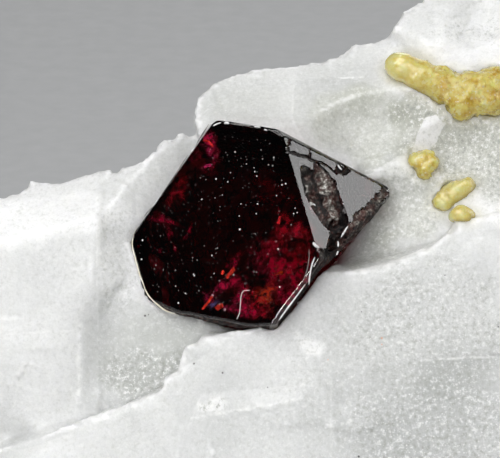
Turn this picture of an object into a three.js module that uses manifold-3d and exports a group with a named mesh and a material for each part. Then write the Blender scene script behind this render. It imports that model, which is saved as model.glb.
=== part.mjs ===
// Spinel on calcite matrix: a dark red spinel octahedron grown in a cleaved block of white
// calcite, with four yellow grains set in the calcite beside it.
//
// Everything is drawn in the front frame: x to the right, y up the front and z out of it, with
// the origin on the crystal's broad face. The specimen group then stands the front up, leaning
// back, on the flat face that the block rests on. Lengths are millimetres.

import * as THREE from 'three';
import { mergeVertices } from 'three/addons/utils/BufferGeometryUtils.js';
import Module from 'manifold-3d';

const wasm = await Module();
wasm.setup();

// ---------------------------------------------------------------- driving dimensions

const FRONT_LEAN = 20;              // degrees that the front leans back from upright
const ORIGIN_HEIGHT = 10.1;         // the front frame's origin above the resting face
const ORIGIN_OFFSET = [-1.17, -3.92]; // and right of and behind the middle of the block
const BLOCK_DEPTH = [-17, 6];       // front to back, before the block is cut to shape
const FIT_GAP = 0.03;               // clearance round everything that sits in the calcite
const POCKET_OPENING = 1.5;         // how far the crystal's pocket is cleared over its front
const CRYSTAL_STOCK = 40;           // side of the cube that the crystal's planes are cut from
const WELD = 1e-5;                  // corners nearer than this are one corner

// The crystal: cube axes of the octahedron in the front frame, and each face's distance from
// its centre. A face is named by its direction on those axes.
const AXIS_A = new THREE.Vector3(0.2183, -0.4530, 0.8643);
const AXIS_B = new THREE.Vector3(-0.1596, 0.8572, 0.4896);
const FACES = {
  front: { direction: [1, 1, 1], distance: 2.5 },
  right: { direction: [1, 1, -1], distance: 3.31 },
  top: { direction: [-1, 1, -1], distance: 3.11 },
  bottom: { direction: [1, -1, 1], distance: 4.22 },
  lowerRight: { direction: [1, -1, -1], distance: 2.45 },
  upperLeft: { direction: [-1, 1, 1], distance: 4.88 },
  lowerLeft: { direction: [-1, -1, 1], distance: 4.42 },
  back: { direction: [-1, -1, -1], distance: 1.95 },
};

// Narrow bevels along the crystal's edges: the two faces, the bevel's width and how fast it
// widens along the edge.
const BEVELS = [
  ['right', 'top', 0.26, 0.022],
  ['front', 'lowerRight', 0.2, 0],
  ['front', 'top', 0.1, 0],
  ['front', 'upperLeft', 0.07, 0],
  ['front', 'bottom', 0.06, 0],
  ['front', 'right', 0.04, 0],
  ['front', 'lowerLeft', 0.06, 0],
  ['right', 'lowerRight', 0.12, 0],
  ['upperLeft', 'lowerLeft', 0.45, 0],
  ['lowerLeft', 'bottom', 0.35, 0],
  ['bottom', 'lowerRight', 0.25, 0],
  ['upperLeft', 'top', 0.3, 0],
  ['top', 'lowerRight', 0.3, 0],
];

// Broken hollows in the right face: a leaf-shaped pit in two lobes that runs out at the lower
// edge, and a chip in the top edge. Centre, then radii along, across and into the face.
const PIT_DIRECTION = new THREE.Vector3(0.408, -0.903, 0.137);
const PIT_SHAPE = { unevenness: 0.16, detail: 2, phaseStep: 1.7 };
const PITS = [
  { centre: [2.7, 1.27, 0.6], radii: [1.5, 0.58, 0.5] },
  { centre: [3.24, 1.35, 0.1], radii: [1.5, 0.42, 0.38] },
  { centre: [3.6, -0.1, 0.55], radii: [0.95, 0.34, 0.5] },
  { centre: [3.5, -0.76, 0.95], radii: [0.5, 0.45, 0.5] },
  { centre: [3.62, 2.5, -0.82], radii: [0.2, 0.26, 0.2] },
];

// The calcite's outline as the front sees it, measured at the depth of the crest. Behind the
// crest the top falls away at a slope.
const CREST_DEPTH = -4.2;
const CREST_FALL = 0.35;
const SILHOUETTE = [
  [-15.6, -3.0], [-13.7, -1.35], [-12.95, -0.35], [-12.05, -0.1], [-11.6, 0.6], [-10.7, 0.95],
  [-10.3, 1.15], [-9.65, 1.35], [-9.3, 1.7], [-9.15, 2.05], [-8.2, 1.95], [-7.4, 2.1],
  [-6.4, 2.45], [-5.8, 2.5], [-5.65, 2.25], [-5.35, 2.5], [-4.75, 2.55], [-4.15, 2.9],
  [-3.85, 3.15], [-3.75, 3.65], [-3.15, 3.8], [-3.05, 4.1], [-2.55, 4.1], [-2.3, 4.0],
  [-2.1, 5.0], [-1.65, 5.7], [-0.75, 6.0], [0.5, 6.5], [1.65, 6.6], [2.8, 6.7],
  [3.75, 6.95], [4.25, 7.4], [5.7, 7.9], [6.1, 8.35], [6.3, 8.95], [7.2, 9.35],
  [7.45, 10.1], [8.4, 10.5], [9.15, 11.1], [10.9, 11.5], [12.35, 11.2], [12.75, 10.4],
  [13.55, 9.9], [16, 8.8], [16, -16], [-16, -16],
];

// The front is broken in ledges. Each is a slab over an outline, and its top is the lowest of
// its planes, given as the height over the origin and the slopes along x and y.
const LEDGE_TAPER = 1.03;
const LEDGES = [
  // Heart of the block
  { tops: [[-4.6, 0.1, -0.2]], outline: [
    [-17, -17], [17, -17], [17, 14], [-17, 14]] },
  // Bright crest on the left
  { tops: [[-0.81, 0.213, -0.859]], outline: [
    [-17, -2.6], [-13.1, -1.35], [-10.25, -0.45], [-8.2, 0.05], [-6.25, 0.55], [-6.2, 1.6],
    [-6.25, 3.2], [-17, 3.2]] },
  // Left cleavage face
  { tops: [[-2.4, 0.024, -0.098]], outline: [
    [-17, -2.4], [-13.1, -1.35], [-10.25, -0.45], [-8.2, 0.05], [-6.2, 0.55], [-6.15, -1.35],
    [-6.2, -2.9], [-6.95, -4.05], [-10.2, -4.2], [-17, -4.8]] },
  // Lower left block
  { tops: [[-2.55, 0.006, -0.1], [-1.75, 0.02, 0.02]], outline: [
    [-17, -4.7], [-10.2, -4.15], [-6.95, -4.0], [-6.9, -4.9], [-7.0, -5.8], [-7.45, -6.75],
    [-8.35, -7.5], [-9.3, -8.15], [-10.1, -8.6], [-11.75, -9.05], [-17, -10]] },
  // Strip beside it
  { tops: [[-3.5, -0.072, -0.111]], outline: [
    [-7.75, -3.8], [-6.3, -2.9], [-6.2, -5.5], [-6.1, -6.6], [-6.6, -9.4], [-9.2, -9.0],
    [-8.35, -7.0], [-7.5, -5.35]] },
  // Middle face left of the crystal
  { tops: [
    [-4.85, -0.355, -0.168], [-0.33, 0.339, -0.737]], outline: [
    [-6.5, 0.3], [-6.4, 1.6], [-6.5, 3.4], [-4.5, 5], [-2.25, 6.2], [-0.4, 5.8],
    [-0.4, -0.45], [-4.5, -1.6], [-5.0, -1.85], [-5.65, -2.5], [-6.5, -3.0]] },
  // Floor of the grotto
  { tops: [[-1.55, 0.26, -0.05]], outline: [
    [-6.6, -0.6], [-0.4, -0.5], [2.0, -3.65], [0.4, -5.2], [-2.4, -7.8], [-6.15, -8.6],
    [-7.9, -8.3], [-6.35, -6.5]] },
  // Floor of the groove on the left
  { tops: [[-2.75, 0.05, -0.09]], outline: [
    [-17, -8], [-8, -5.6], [-5.8, -6.2], [-2, -7.6], [-2, -10.4], [-17, -12]] },
  // Rise of the grotto to the crystal
  { tops: [[-0.62, 0.64, 0.1]], outline: [
    [-4.4, -2.6], [-0.4, -1.2], [1.2, -3.4], [0.2, -4.6], [-1.9, -4.9], [-3.6, -4.0]] },
  // Front slab
  { tops: [
    [-0.24, 0.235, -0.095], [-0.28, 0.098, -0.126], [-0.08, -0.039, -0.156],
    [1.1, 0.02, -0.02]], outline: [
    [-17, -10.4], [-11.0, -9.1], [-9.25, -8.55], [-7.7, -8.05], [-6.05, -7.6], [-5.05, -7.2],
    [-4.0, -6.65], [-3.45, -6.4], [-3.35, -6.0], [-2.75, -5.75], [-2.65, -5.25], [-2.5, -4.8],
    [-1.95, -4.7], [-1.85, -4.45], [-0.8, -4.2], [0.3, -3.95], [1.6, -3.4], [2.4, -2.4],
    [3.0, -1.2], [3.5, -1.3], [4.1, -1.6], [4.8, -1.4], [6.0, -1.1], [7.2, -0.75],
    [8.1, -0.1], [8.2, 0.25], [9.4, 0.45], [12.5, 1.3], [17, 0.9], [17, -17], [-17, -17]] },
  // Plate on the slab, right
  { tops: [[-0.36, 0.001, -0.156]], outline: [
    [6.9, -5.2], [8.3, -5.05], [10.2, -4.9], [17, -4.5], [17, -0.4], [9.4, -0.3],
    [8.0, -1.4], [6.8, -2.2], [6.4, -3.6]] },
  // Plate on the slab, left
  { tops: [[-0.53, 0.235, -0.135]], outline: [
    [-17, -17], [-17, -11], [-10.4, -9.7], [-7.2, -8.7], [-4.4, -7.75], [-3.0, -7.3],
    [-2.9, -9.2], [-3.3, -11.0], [-2.8, -17]] },
  // Flake on the slab
  { tops: [
    [-0.16, 0.235, -0.095], [-0.2, 0.098, -0.126], [0.0, -0.039, -0.156]], outline: [
    [-0.3, -7.1], [0.6, -6.75], [1.8, -6.75], [2.1, -6.1], [2.6, -5.9], [3.1, -6.5],
    [3.6, -7.0], [4.3, -7.0], [4.8, -7.3], [4.9, -7.8], [4.3, -8.1], [3.6, -7.9],
    [2.6, -7.7], [1.2, -7.8], [0.4, -7.5]] },
  // Smooth face above the crystal
  { tops: [
    [1.18, 0.047, -0.727], [-1.35, -0.06, -0.1]], outline: [
    [-1.95, 3.4], [-2.2, 4.4], [-2.2, 6.4], [-0.75, 7.2], [1.65, 7.8], [4.4, 8.4],
    [4.2, 1.95], [2.0, 1.15], [-0.5, 2.2]] },
  // Hollow beside the tip
  { tops: [[-2.55, 0.12, -0.1]], outline: [
    [3.0, 2.6], [6.4, 3.2], [9.6, 2.6], [17, 2.6], [17, -2], [3.4, -3]] },
  // Top right
  { tops: [[0.42, 0.156, -0.664], [-1.75, -0.02, -0.08]], outline: [
    [3.4, 2.0], [3.4, 8.4], [4.25, 9.4], [6.25, 10.6], [7.2, 12.2], [9.25, 13.4],
    [13.2, 13.4], [17, 12], [17, 2.4], [10.4, 2.2], [8.4, 2.3], [6.4, 2.6], [4.6, 2.1]] },
  // Rough lobe over the long grain
  { tops: [[1.34, 0.086, -0.646]], outline: [
    [5.9, 8.0], [6.1, 9.2], [7.2, 11.2], [9.0, 12.4], [13.0, 12.4], [17, 10],
    [17, 7.4], [12.4, 7.2], [10.9, 7.5], [10.27, 7.64], [9.24, 7.68], [8.3, 7.52],
    [7.6, 7.35], [6.98, 7.48], [6.37, 7.76]] },
  // Ridge under the hollow
  { tops: [[-1.88, 0.028, -0.073]], outline: [
    [4.7, 2.15], [5.5, 2.8], [6.2, 2.95], [6.55, 3.2], [6.65, 3.85], [6.9, 4.5],
    [7.4, 4.7], [8.0, 4.45], [8.2, 3.85], [7.75, 3.15], [6.9, 2.55], [6.2, 2.1],
    [5.5, 1.65]] },
  // White lobe by the small grains
  { tops: [[-2.0, 0.124, -0.42]], outline: [
    [8.25, 0.95], [8.65, 1.4], [9.3, 1.6], [10.15, 1.45], [10.95, 1.75], [13.6, 2.2],
    [17, 2.0], [17, -0.6], [12.45, -0.6], [10.1, -0.4], [8.9, -0.05]] },
];

// Shallow hollows broken out of the ledges, each the bottom of a large uneven bowl: centre,
// radii and turn about z in degrees.
const HOLLOW_SHAPE = { unevenness: 0.14, detail: 3, phaseStep: 0.9 };
const HOLLOWS = [
  { centre: [4.9, 4.5, 0.4], radii: [4.2, 3.6, 3.1], turn: 25 },
  { centre: [8.9, 3.5, 0.2], radii: [4.0, 2.4, 2.9], turn: -10 },
  { centre: [5.7, 0.8, 0.6], radii: [3.8, 2.1, 3.0], turn: 24 },
  { centre: [12.2, 4.2, 0.5], radii: [4.0, 2.6, 2.9], turn: 10 },
  { centre: [9.6, 9.6, -1.2], radii: [3.2, 2.2, 3.0], turn: 35 },
];

// The sides and the back are cleaved in steps. The three cleavage directions make the edges of
// a rhomb, and the block is built of bars of such rhombs: rows going up, layers going back.
// Each layer ends lower behind the crest and further in from the sides than the one before, and
// its rows are shifted a little.
const CLEAVAGE = [[1, 0.1, 0], [0.1, 1, 0], [-0.22, 0.2, 1]];
const ROWS = [-17, -11.2, -9.1, -6.3, -4.4, -1.6, 0.2, 2.9, 4.3, 6.8, 8.6, 11.2, 14];
const LAYERS = [
  { range: [-5.2, 6], crest: 30, inset: 0, shift: 0 },
  { range: [-6.9, -4.9], crest: 8.6, inset: 0.3, shift: 0.9 },
  { range: [-8.4, -6.6], crest: 7.4, inset: 0.8, shift: -0.7 },
  { range: [-10.0, -8.1], crest: 5.6, inset: 1.2, shift: 0.4 },
  { range: [-11.5, -9.8], crest: 3.4, inset: 1.9, shift: -1.1 },
  { range: [-13.2, -11.3], crest: 0.6, inset: 3.0, shift: 0.6 },
];
const SIDES = [-13.6, 13.4];
const SIDE_STEP = 0.85;
const STEP_COUNT = 3;
const SHORTEST_BAR = 2;
const CREST_SLOPE = 0.5;
const BAR_OVERLAP = 0.01;
const STEP_SEED = 5;

// Yellow grains: rounded lumps grown together. Centre, radii and the turn about z in degrees.
const GRAIN_SHAPE = { unevenness: 0.09, detail: 2, phaseStep: 1.3 };
const GRAIN_PHASE = 2;
const GRAINS = {
  yellow_grain_large: [
    { centre: [6.3, 6.62, -2.75], radii: [0.76, 0.54, 0.66], turn: -18 },
    { centre: [7.05, 6.22, -2.7], radii: [0.9, 0.66, 0.68], turn: -32 },
    { centre: [7.95, 5.82, -2.6], radii: [0.95, 0.76, 0.72], turn: -28 },
    { centre: [8.85, 5.42, -2.45], radii: [0.9, 0.98, 0.76], turn: -20 },
    { centre: [9.8, 5.6, -2.4], radii: [0.98, 0.98, 0.78], turn: 8 },
    { centre: [10.75, 5.5, -2.35], radii: [0.8, 0.7, 0.66], turn: -12 },
  ],
  yellow_grain_upper: [
    { centre: [6.95, 2.82, -2.0], radii: [0.42, 0.3, 0.46], turn: 5 },
    { centre: [7.3, 2.78, -1.98], radii: [0.36, 0.34, 0.44], turn: 30 },
    { centre: [7.12, 2.5, -1.98], radii: [0.3, 0.26, 0.4], turn: 60 },
  ],
  yellow_grain_middle: [
    { centre: [8.2, 1.52, -1.8], radii: [0.5, 0.42, 0.5], turn: 20 },
    { centre: [8.6, 1.72, -1.75], radii: [0.46, 0.34, 0.46], turn: 10 },
    { centre: [7.82, 1.1, -1.85], radii: [0.34, 0.3, 0.4], turn: 0 },
  ],
  yellow_grain_lower: [
    { centre: [8.38, 0.6, -0.98], radii: [0.36, 0.26, 0.42], turn: 12 },
    { centre: [8.7, 0.54, -0.95], radii: [0.3, 0.24, 0.4], turn: -10 },
  ],
};

const CALCITE = { colour: 0xe6e7e2, roughness: 0.5 };
const SPINEL = { colour: 0x3a0509, roughness: 0.08 };
const YELLOW_GRAIN = { colour: 0xdcc060, roughness: 0.25 };

// ---------------------------------------------------------------- shapes

// A repeatable stream of random numbers from 0 to 1.
function randomStream(seed) {
  let state = seed;
  return () => {
    state = (state * 1664525 + 1013904223) % 4294967296;
    return state / 4294967296;
  };
}

// A smooth wandering value from about -1 to 1 at a point.
function wander(x, y, z, phase) {
  const first = Math.sin(1.1 * x + 0.7 * y + phase) * Math.cos(0.9 * y - 0.6 * z + 2.1 * phase);
  const second = Math.sin(1.7 * z + 0.8 * x - 1.3 * phase) * Math.cos(1.9 * x - 1.4 * y + phase);
  return 0.6 * first + 0.4 * second;
}

function toSolid(geometry) {
  const bare = new THREE.BufferGeometry();
  bare.setAttribute('position', geometry.getAttribute('position').clone());
  if (geometry.index) {
    bare.setIndex(geometry.index.clone());
  }
  const merged = mergeVertices(bare, WELD);
  return new wasm.Manifold(new wasm.Mesh({
    numProp: 3,
    vertProperties: new Float32Array(merged.getAttribute('position').array),
    triVerts: new Uint32Array(merged.index.array),
  }));
}

function toGeometry(solid) {
  const mesh = solid.getMesh();
  const geometry = new THREE.BufferGeometry();
  geometry.setAttribute('position', new THREE.BufferAttribute(mesh.vertProperties, 3));
  geometry.setIndex(new THREE.BufferAttribute(mesh.triVerts, 1));
  return geometry;
}

function join(solids) {
  return solids.reduce((whole, next) => whole.add(next));
}

function cut(solid, tools) {
  return tools.reduce((rest, tool) => rest.subtract(tool), solid);
}

// A prism over an outline between two depths. Its floor is a little wider than its top.
function prism(outline, [floor, top], taper) {
  const shape = new THREE.Shape(outline.map(([x, y]) => new THREE.Vector2(x, y)));
  const geometry = new THREE.ExtrudeGeometry(shape, { depth: top - floor, bevelEnabled: false });
  geometry.translate(0, 0, floor);
  const middle = new THREE.Vector2();
  outline.forEach(([x, y]) => middle.add(new THREE.Vector2(x, y)));
  middle.divideScalar(outline.length);
  const position = geometry.getAttribute('position');
  for (let i = 0; i < position.count; i += 1) {
    const depth = (top - position.getZ(i)) / (top - floor);
    const spread = 1 + (taper - 1) * depth;
    position.setX(i, middle.x + (position.getX(i) - middle.x) * spread);
    position.setY(i, middle.y + (position.getY(i) - middle.y) * spread);
  }
  return geometry;
}

// A slab of calcite that reaches back through the block from its sloping top.
function ledge({ tops, outline }) {
  const start = toSolid(prism(outline, BLOCK_DEPTH, LEDGE_TAPER));
  return tops.reduce((solid, [height, slopeX, slopeY]) => {
    const normal = new THREE.Vector3(slopeX, slopeY, -1);
    const length = normal.length();
    return solid.trimByPlane(normal.divideScalar(length).toArray(), -height / length);
  }, start);
}

// A rounded lump: a faceted ball, stretched, turned and made uneven.
function lump({ centre, radii, basis, phase }, { unevenness, detail }) {
  const ball = new THREE.IcosahedronGeometry(1, detail);
  const position = ball.getAttribute('position');
  for (let i = 0; i < position.count; i += 1) {
    const x = position.getX(i);
    const y = position.getY(i);
    const z = position.getZ(i);
    const swell = 1 + unevenness * wander(2 * x, 2 * y, 2 * z, phase);
    position.setXYZ(i, x * swell * radii[0], y * swell * radii[1], z * swell * radii[2]);
  }
  ball.applyMatrix4(basis);
  ball.translate(...centre);
  return toSolid(ball);
}

function turnAboutZ(degrees) {
  return new THREE.Matrix4().makeRotationZ(THREE.MathUtils.degToRad(degrees));
}

// A bar of calcite bounded by cleavage planes, given by its ranges along the three directions.
function cleavageBar(ranges) {
  const geometry = new THREE.BoxGeometry(...ranges.map(([from, to]) => to - from));
  geometry.translate(...ranges.map(([from, to]) => (from + to) / 2));
  const edges = CLEAVAGE.map((edge) => new THREE.Vector3(...edge));
  geometry.applyMatrix4(new THREE.Matrix4().makeBasis(...edges));
  return toSolid(geometry);
}

// ---------------------------------------------------------------- the crystal

const axisC = new THREE.Vector3().crossVectors(AXIS_A, AXIS_B);
const crystalTurn = new THREE.Matrix4().makeBasis(AXIS_A, AXIS_B, axisC);

function faceNormal(name) {
  return new THREE.Vector3(...FACES[name].direction).normalize().transformDirection(crystalTurn);
}

const crystalCentre = faceNormal('front').multiplyScalar(-FACES.front.distance);

// The plane of a bevel between two faces, as a normal and a distance from the crystal's centre.
function bevelPlane([first, second, width, widening]) {
  const firstNormal = faceNormal(first);
  const secondNormal = faceNormal(second);
  const sum = firstNormal.clone().add(secondNormal);
  const reach = (FACES[first].distance + FACES[second].distance) / sum.length();
  const half = firstNormal.angleTo(secondNormal) / 2;
  const along = new THREE.Vector3().crossVectors(firstNormal, secondNormal).normalize();
  const normal = sum.normalize().addScaledVector(along, widening).normalize();
  return { normal, distance: reach - (width * Math.tan(half)) / 2 };
}

function crystalPlanes() {
  const faces = Object.keys(FACES).map((name) => (
    { normal: faceNormal(name), distance: FACES[name].distance }));
  return faces.concat(BEVELS.map(bevelPlane));
}

// The crystal without its pits, grown outwards by a margin. Its front face may be moved out
// further, which clears whatever lies in front of it.
function crystalSolid(margin, frontClearance) {
  const start = toSolid(new THREE.BoxGeometry(CRYSTAL_STOCK, CRYSTAL_STOCK, CRYSTAL_STOCK));
  return crystalPlanes().reduce((solid, { normal, distance }, index) => {
    const reach = normal.dot(crystalCentre) + distance + margin;
    const clearance = index === 0 ? frontClearance : 0;
    return solid.trimByPlane(normal.clone().negate().toArray(), -(reach + clearance));
  }, start);
}

function crystalPits() {
  const normal = faceNormal('right');
  const along = PIT_DIRECTION.clone().addScaledVector(normal, -PIT_DIRECTION.dot(normal));
  along.normalize();
  const across = new THREE.Vector3().crossVectors(normal, along);
  const basis = new THREE.Matrix4().makeBasis(along, across, normal);
  return PITS.map(({ centre, radii }, index) => (
    lump({ centre, radii, basis, phase: PIT_SHAPE.phaseStep * index }, PIT_SHAPE)));
}

function makeCrystal() {
  return cut(crystalSolid(0, 0), crystalPits());
}

// ---------------------------------------------------------------- the yellow grains

function makeGrain(lumps, margin, phase) {
  return join(lumps.map(({ centre, radii, turn }, index) => lump({
    centre,
    radii: radii.map((radius) => radius + margin),
    basis: turnAboutZ(turn),
    phase: phase + GRAIN_SHAPE.phaseStep * index,
  }, GRAIN_SHAPE)));
}

// ---------------------------------------------------------------- the calcite

function brokenFront() {
  const hollows = HOLLOWS.map(({ centre, radii, turn }, index) => lump({
    centre, radii, basis: turnAboutZ(turn), phase: HOLLOW_SHAPE.phaseStep * index,
  }, HOLLOW_SHAPE));
  return cut(join(LEDGES.map(ledge)), hollows);
}

function outlinePrism() {
  const geometry = prism(SILHOUETTE, BLOCK_DEPTH, 1);
  const position = geometry.getAttribute('position');
  for (let i = 0; i < position.count; i += 1) {
    const fall = CREST_FALL * (position.getZ(i) - CREST_DEPTH);
    position.setY(i, position.getY(i) + fall);
  }
  return toSolid(geometry);
}

function steppedBlock() {
  const random = randomStream(STEP_SEED);
  const step = () => SIDE_STEP * Math.floor(STEP_COUNT * random());
  const bars = [];
  LAYERS.forEach(({ range, crest, inset, shift }) => {
    for (let row = 0; row + 1 < ROWS.length; row += 1) {
      const bottom = ROWS[row] + shift;
      const top = ROWS[row + 1] + shift;
      const underCrest = (top - crest) / CREST_SLOPE;
      const left = Math.max(SIDES[0] + inset + step(), underCrest + step());
      const right = SIDES[1] - inset - step();
      if (left + SHORTEST_BAR < right) {
        bars.push(cleavageBar([[left, right], [bottom, top + BAR_OVERLAP], range]));
      }
    }
  });
  return join(bars);
}

function restingFace(solid) {
  const lean = THREE.MathUtils.degToRad(FRONT_LEAN);
  return solid.trimByPlane([0, Math.cos(lean), Math.sin(lean)], -ORIGIN_HEIGHT);
}

function makeMatrix() {
  const block = brokenFront().intersect(outlinePrism()).intersect(steppedBlock());
  const pockets = Object.values(GRAINS).map((lumps, index) => (
    makeGrain(lumps, FIT_GAP, GRAIN_PHASE * index)));
  return restingFace(cut(block, [crystalSolid(FIT_GAP, POCKET_OPENING)].concat(pockets)));
}

// ---------------------------------------------------------------- the specimen

function namedMesh(name, solid, { colour, roughness }) {
  const material = new THREE.MeshStandardMaterial({ color: colour, roughness, metalness: 0 });
  const mesh = new THREE.Mesh(toGeometry(solid), material);
  mesh.name = name;
  return mesh;
}

const specimen = new THREE.Group();
specimen.rotation.x = THREE.MathUtils.degToRad(90 - FRONT_LEAN);
specimen.position.set(ORIGIN_OFFSET[0], ORIGIN_OFFSET[1], ORIGIN_HEIGHT);
specimen.add(namedMesh('calcite_matrix', makeMatrix(), CALCITE));
specimen.add(namedMesh('spinel_crystal', makeCrystal(), SPINEL));
Object.entries(GRAINS).forEach(([name, lumps], index) => {
  specimen.add(namedMesh(name, makeGrain(lumps, 0, GRAIN_PHASE * index), YELLOW_GRAIN));
});

const group = new THREE.Group();
group.add(specimen);
export default group;
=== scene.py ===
"""Spinel on calcite matrix: the looks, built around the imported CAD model.

A dark red octahedron of spinel sits in a cleaved block of white calcite, with four yellow
grains beside it. Points on the specimen are given in its front frame, in millimetres: u to the
right, v up the front and w out of it, from a point on the crystal's broad face. The front leans
back from upright, as it does in the CAD model.
"""

import itertools
import math
from types import SimpleNamespace

import bmesh
import bpy
import numpy as np
from mathutils import Matrix, Vector
from mathutils.bvhtree import BVHTree
from mathutils.kdtree import KDTree


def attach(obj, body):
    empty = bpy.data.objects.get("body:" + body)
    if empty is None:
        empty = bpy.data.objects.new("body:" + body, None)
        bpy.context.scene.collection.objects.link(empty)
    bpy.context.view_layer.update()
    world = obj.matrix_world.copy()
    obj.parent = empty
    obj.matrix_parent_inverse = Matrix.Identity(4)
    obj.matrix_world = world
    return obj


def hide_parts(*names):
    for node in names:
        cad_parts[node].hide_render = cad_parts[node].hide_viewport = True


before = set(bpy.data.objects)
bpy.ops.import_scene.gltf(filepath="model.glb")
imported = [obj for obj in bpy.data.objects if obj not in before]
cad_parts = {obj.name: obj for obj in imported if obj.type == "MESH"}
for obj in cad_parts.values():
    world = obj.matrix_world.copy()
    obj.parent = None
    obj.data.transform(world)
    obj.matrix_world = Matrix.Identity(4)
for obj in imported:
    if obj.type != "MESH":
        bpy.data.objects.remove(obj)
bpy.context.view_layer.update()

# ---------------------------------------------------------------- sizes and places

MM = 0.001
FRONT_LEAN = math.radians(20)
ORIGIN = np.array([-1.17, -3.92, 10.1])
RIGHT = np.array([1.0, 0.0, 0.0])
UP = np.array([0.0, math.sin(FRONT_LEAN), math.cos(FRONT_LEAN)])
OUT = np.array([0.0, -math.cos(FRONT_LEAN), math.sin(FRONT_LEAN)])
AXES = np.array([RIGHT, UP, OUT])

# The camera looks square onto the front.
CAMERA_DISTANCE = 111.1
CAMERA_LENS = 200
CAMERA_SENSOR = 36

# How fine the calcite's mesh is made, and how many triangles of it are left.
CALCITE_VOXEL = 0.13
CALCITE_TRIANGLES = 190000
# How far the calcite stands clear of the crystal, and the most that it is pushed to do so.
CRYSTAL_CLEARANCE = 0.02
MOST_CLEARING = 0.6
# How near a yellow grain the calcite turns warm.
WARM_REACH = 0.7

# How fine the crystal's mesh is made.
SPINEL_VOXEL = 0.062
# The crystal's faces in the front frame. The broad one passes through its origin.
FRONT_NORMAL = np.array([-0.5219, 0.0920, 0.8480])
RIGHT_NORMAL = np.array([0.5897, 0.3747, 0.7154])
RIGHT_OFFSET = 2.48
LOWER_RIGHT_NORMAL = np.array([0.7740, -0.6151, 0.1500])
BOTTOM_NORMAL = np.array([-0.3377, -0.8978, 0.2827])

# The right face leans a little further than in the solid, about its edge with the broad face.
RIGHT_LEAN = math.radians(2)
ACROSS_RIGHT = FRONT_NORMAL - (FRONT_NORMAL @ RIGHT_NORMAL) * RIGHT_NORMAL
ACROSS_RIGHT /= np.linalg.norm(ACROSS_RIGHT)
LEANING_NORMAL = math.cos(RIGHT_LEAN) * RIGHT_NORMAL + math.sin(RIGHT_LEAN) * ACROSS_RIGHT
EDGE_ACROSS = -RIGHT_OFFSET * (FRONT_NORMAL @ RIGHT_NORMAL) / (FRONT_NORMAL @ ACROSS_RIGHT)
LEANING_OFFSET = math.cos(RIGHT_LEAN) * RIGHT_OFFSET + math.sin(RIGHT_LEAN) * EDGE_ACROSS

# How far from the crystal's softer edges its faces start to round off.
EDGE_ROUNDING = 0.07
# Going down behind its front, the crystal's surface turns from seen to hidden in the calcite
# between these depths. Past the second none of it is worn.
HIDDEN_DEPTHS = (0.9, 1.6)
# How far the broad face reaches further down over the foot.
FOOT_REACH = 0.22
# A buried corner of the crystal where the calcite behind is thin, and how far it is rounded off.
BURIED_CORNER = np.array([-1.64, 3.21, -3.73])
CORNER_ROUNDING = 0.3

# Inclusions lie at least this deep in the crystal, on planes that mirror the key light.
FLAKE_COVER = 0.05
MIRROR_NORMAL = np.array([-0.357, 0.254, 0.899])

# Lines along which the right face is cracked or grooved, seen from the front: the line, how
# far it reaches to either side and how deep it goes.
RIGHT_FACE_CRACKS = [
    ([(1.51, 3.1), (2.0, 2.95), (2.4, 2.76), (2.81, 2.69)], 0.045, 0.06),
    ([(2.81, 2.69), (3.21, 2.49), (3.5, 2.25)], 0.035, 0.04),
    ([(1.6, 3.59), (1.55, 3.35), (1.47, 3.1)], 0.045, 0.06),
    ([(2.4, 3.21), (2.36, 2.88)], 0.04, 0.05),
    ([(3.55, 2.4), (3.76, 2.25), (3.95, 2.36)], 0.1, 0.08),
    ([(3.3, 1.9), (3.48, 1.16), (3.71, 0.28)], 0.12, 0.2),
    ([(3.5, 0.16), (3.41, -0.44), (3.16, -1.03)], 0.28, 0.28),
    ([(3.9, -0.25), (3.6, -0.3), (3.3, -0.75)], 0.12, 0.2),
]

# How the broken parts of the right face are toned, with painted shade and painted highlights:
# lines over it seen from the front, their reach, and how much paler or darker than their
# surroundings they are. The ridge, the rim of the left lobe, the dark side of the pit, the chip,
# the notch, under the notch and the side under the broad face are painted shade; the two glints
# in the left lobe are painted highlights; the pale lobe is frosted and partly a painted highlight.
WORN_TONES_AND_PAINTED_LIGHT = {
    "pale lobe of the pit": ([(2.9, 2.3), (3.0, 1.76), (3.15, 1.04), (3.35, 0.44)], 0.36, 0.34),
    "ridge between the lobes": ([(2.4, 2.44), (2.71, 1.63), (3.06, 0.52)], 0.14, -0.62),
    "rim of the left lobe": (
        [(2.2, 2.3), (2.1, 1.8), (2.3, 1.1), (2.8, 0.3), (3.1, -0.1)], 0.07, -0.4,
    ),
    "glint in the left lobe": ([(2.42, 1.06), (2.5, 1.0)], 0.08, 0.8),
    "upper glint in the left lobe": ([(2.24, 1.7), (2.3, 1.5)], 0.06, 0.6),
    "dark side of the pit": ([(3.4, 2.05), (3.62, 1.16), (3.78, 0.28)], 0.17, -0.5),
    "strip at the tip": ([(5.3, 1.5), (4.4, 0.2), (3.6, -0.6)], 0.5, 0.06),
    "chip in the top edge": ([(3.55, 2.5), (3.95, 2.4)], 0.25, -0.3),
    "side under the broad face": ([(2.5, -1.6), (2.0, -2.6), (1.3, -3.6)], 0.6, -0.12),
    "notch": ([(3.5, 0.16), (3.41, -0.44), (3.16, -1.03)], 0.35, -0.2),
    "under the notch": ([(2.75, -0.85), (2.6, -1.5), (2.5, -2.1)], 0.12, -0.3),
}
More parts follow.
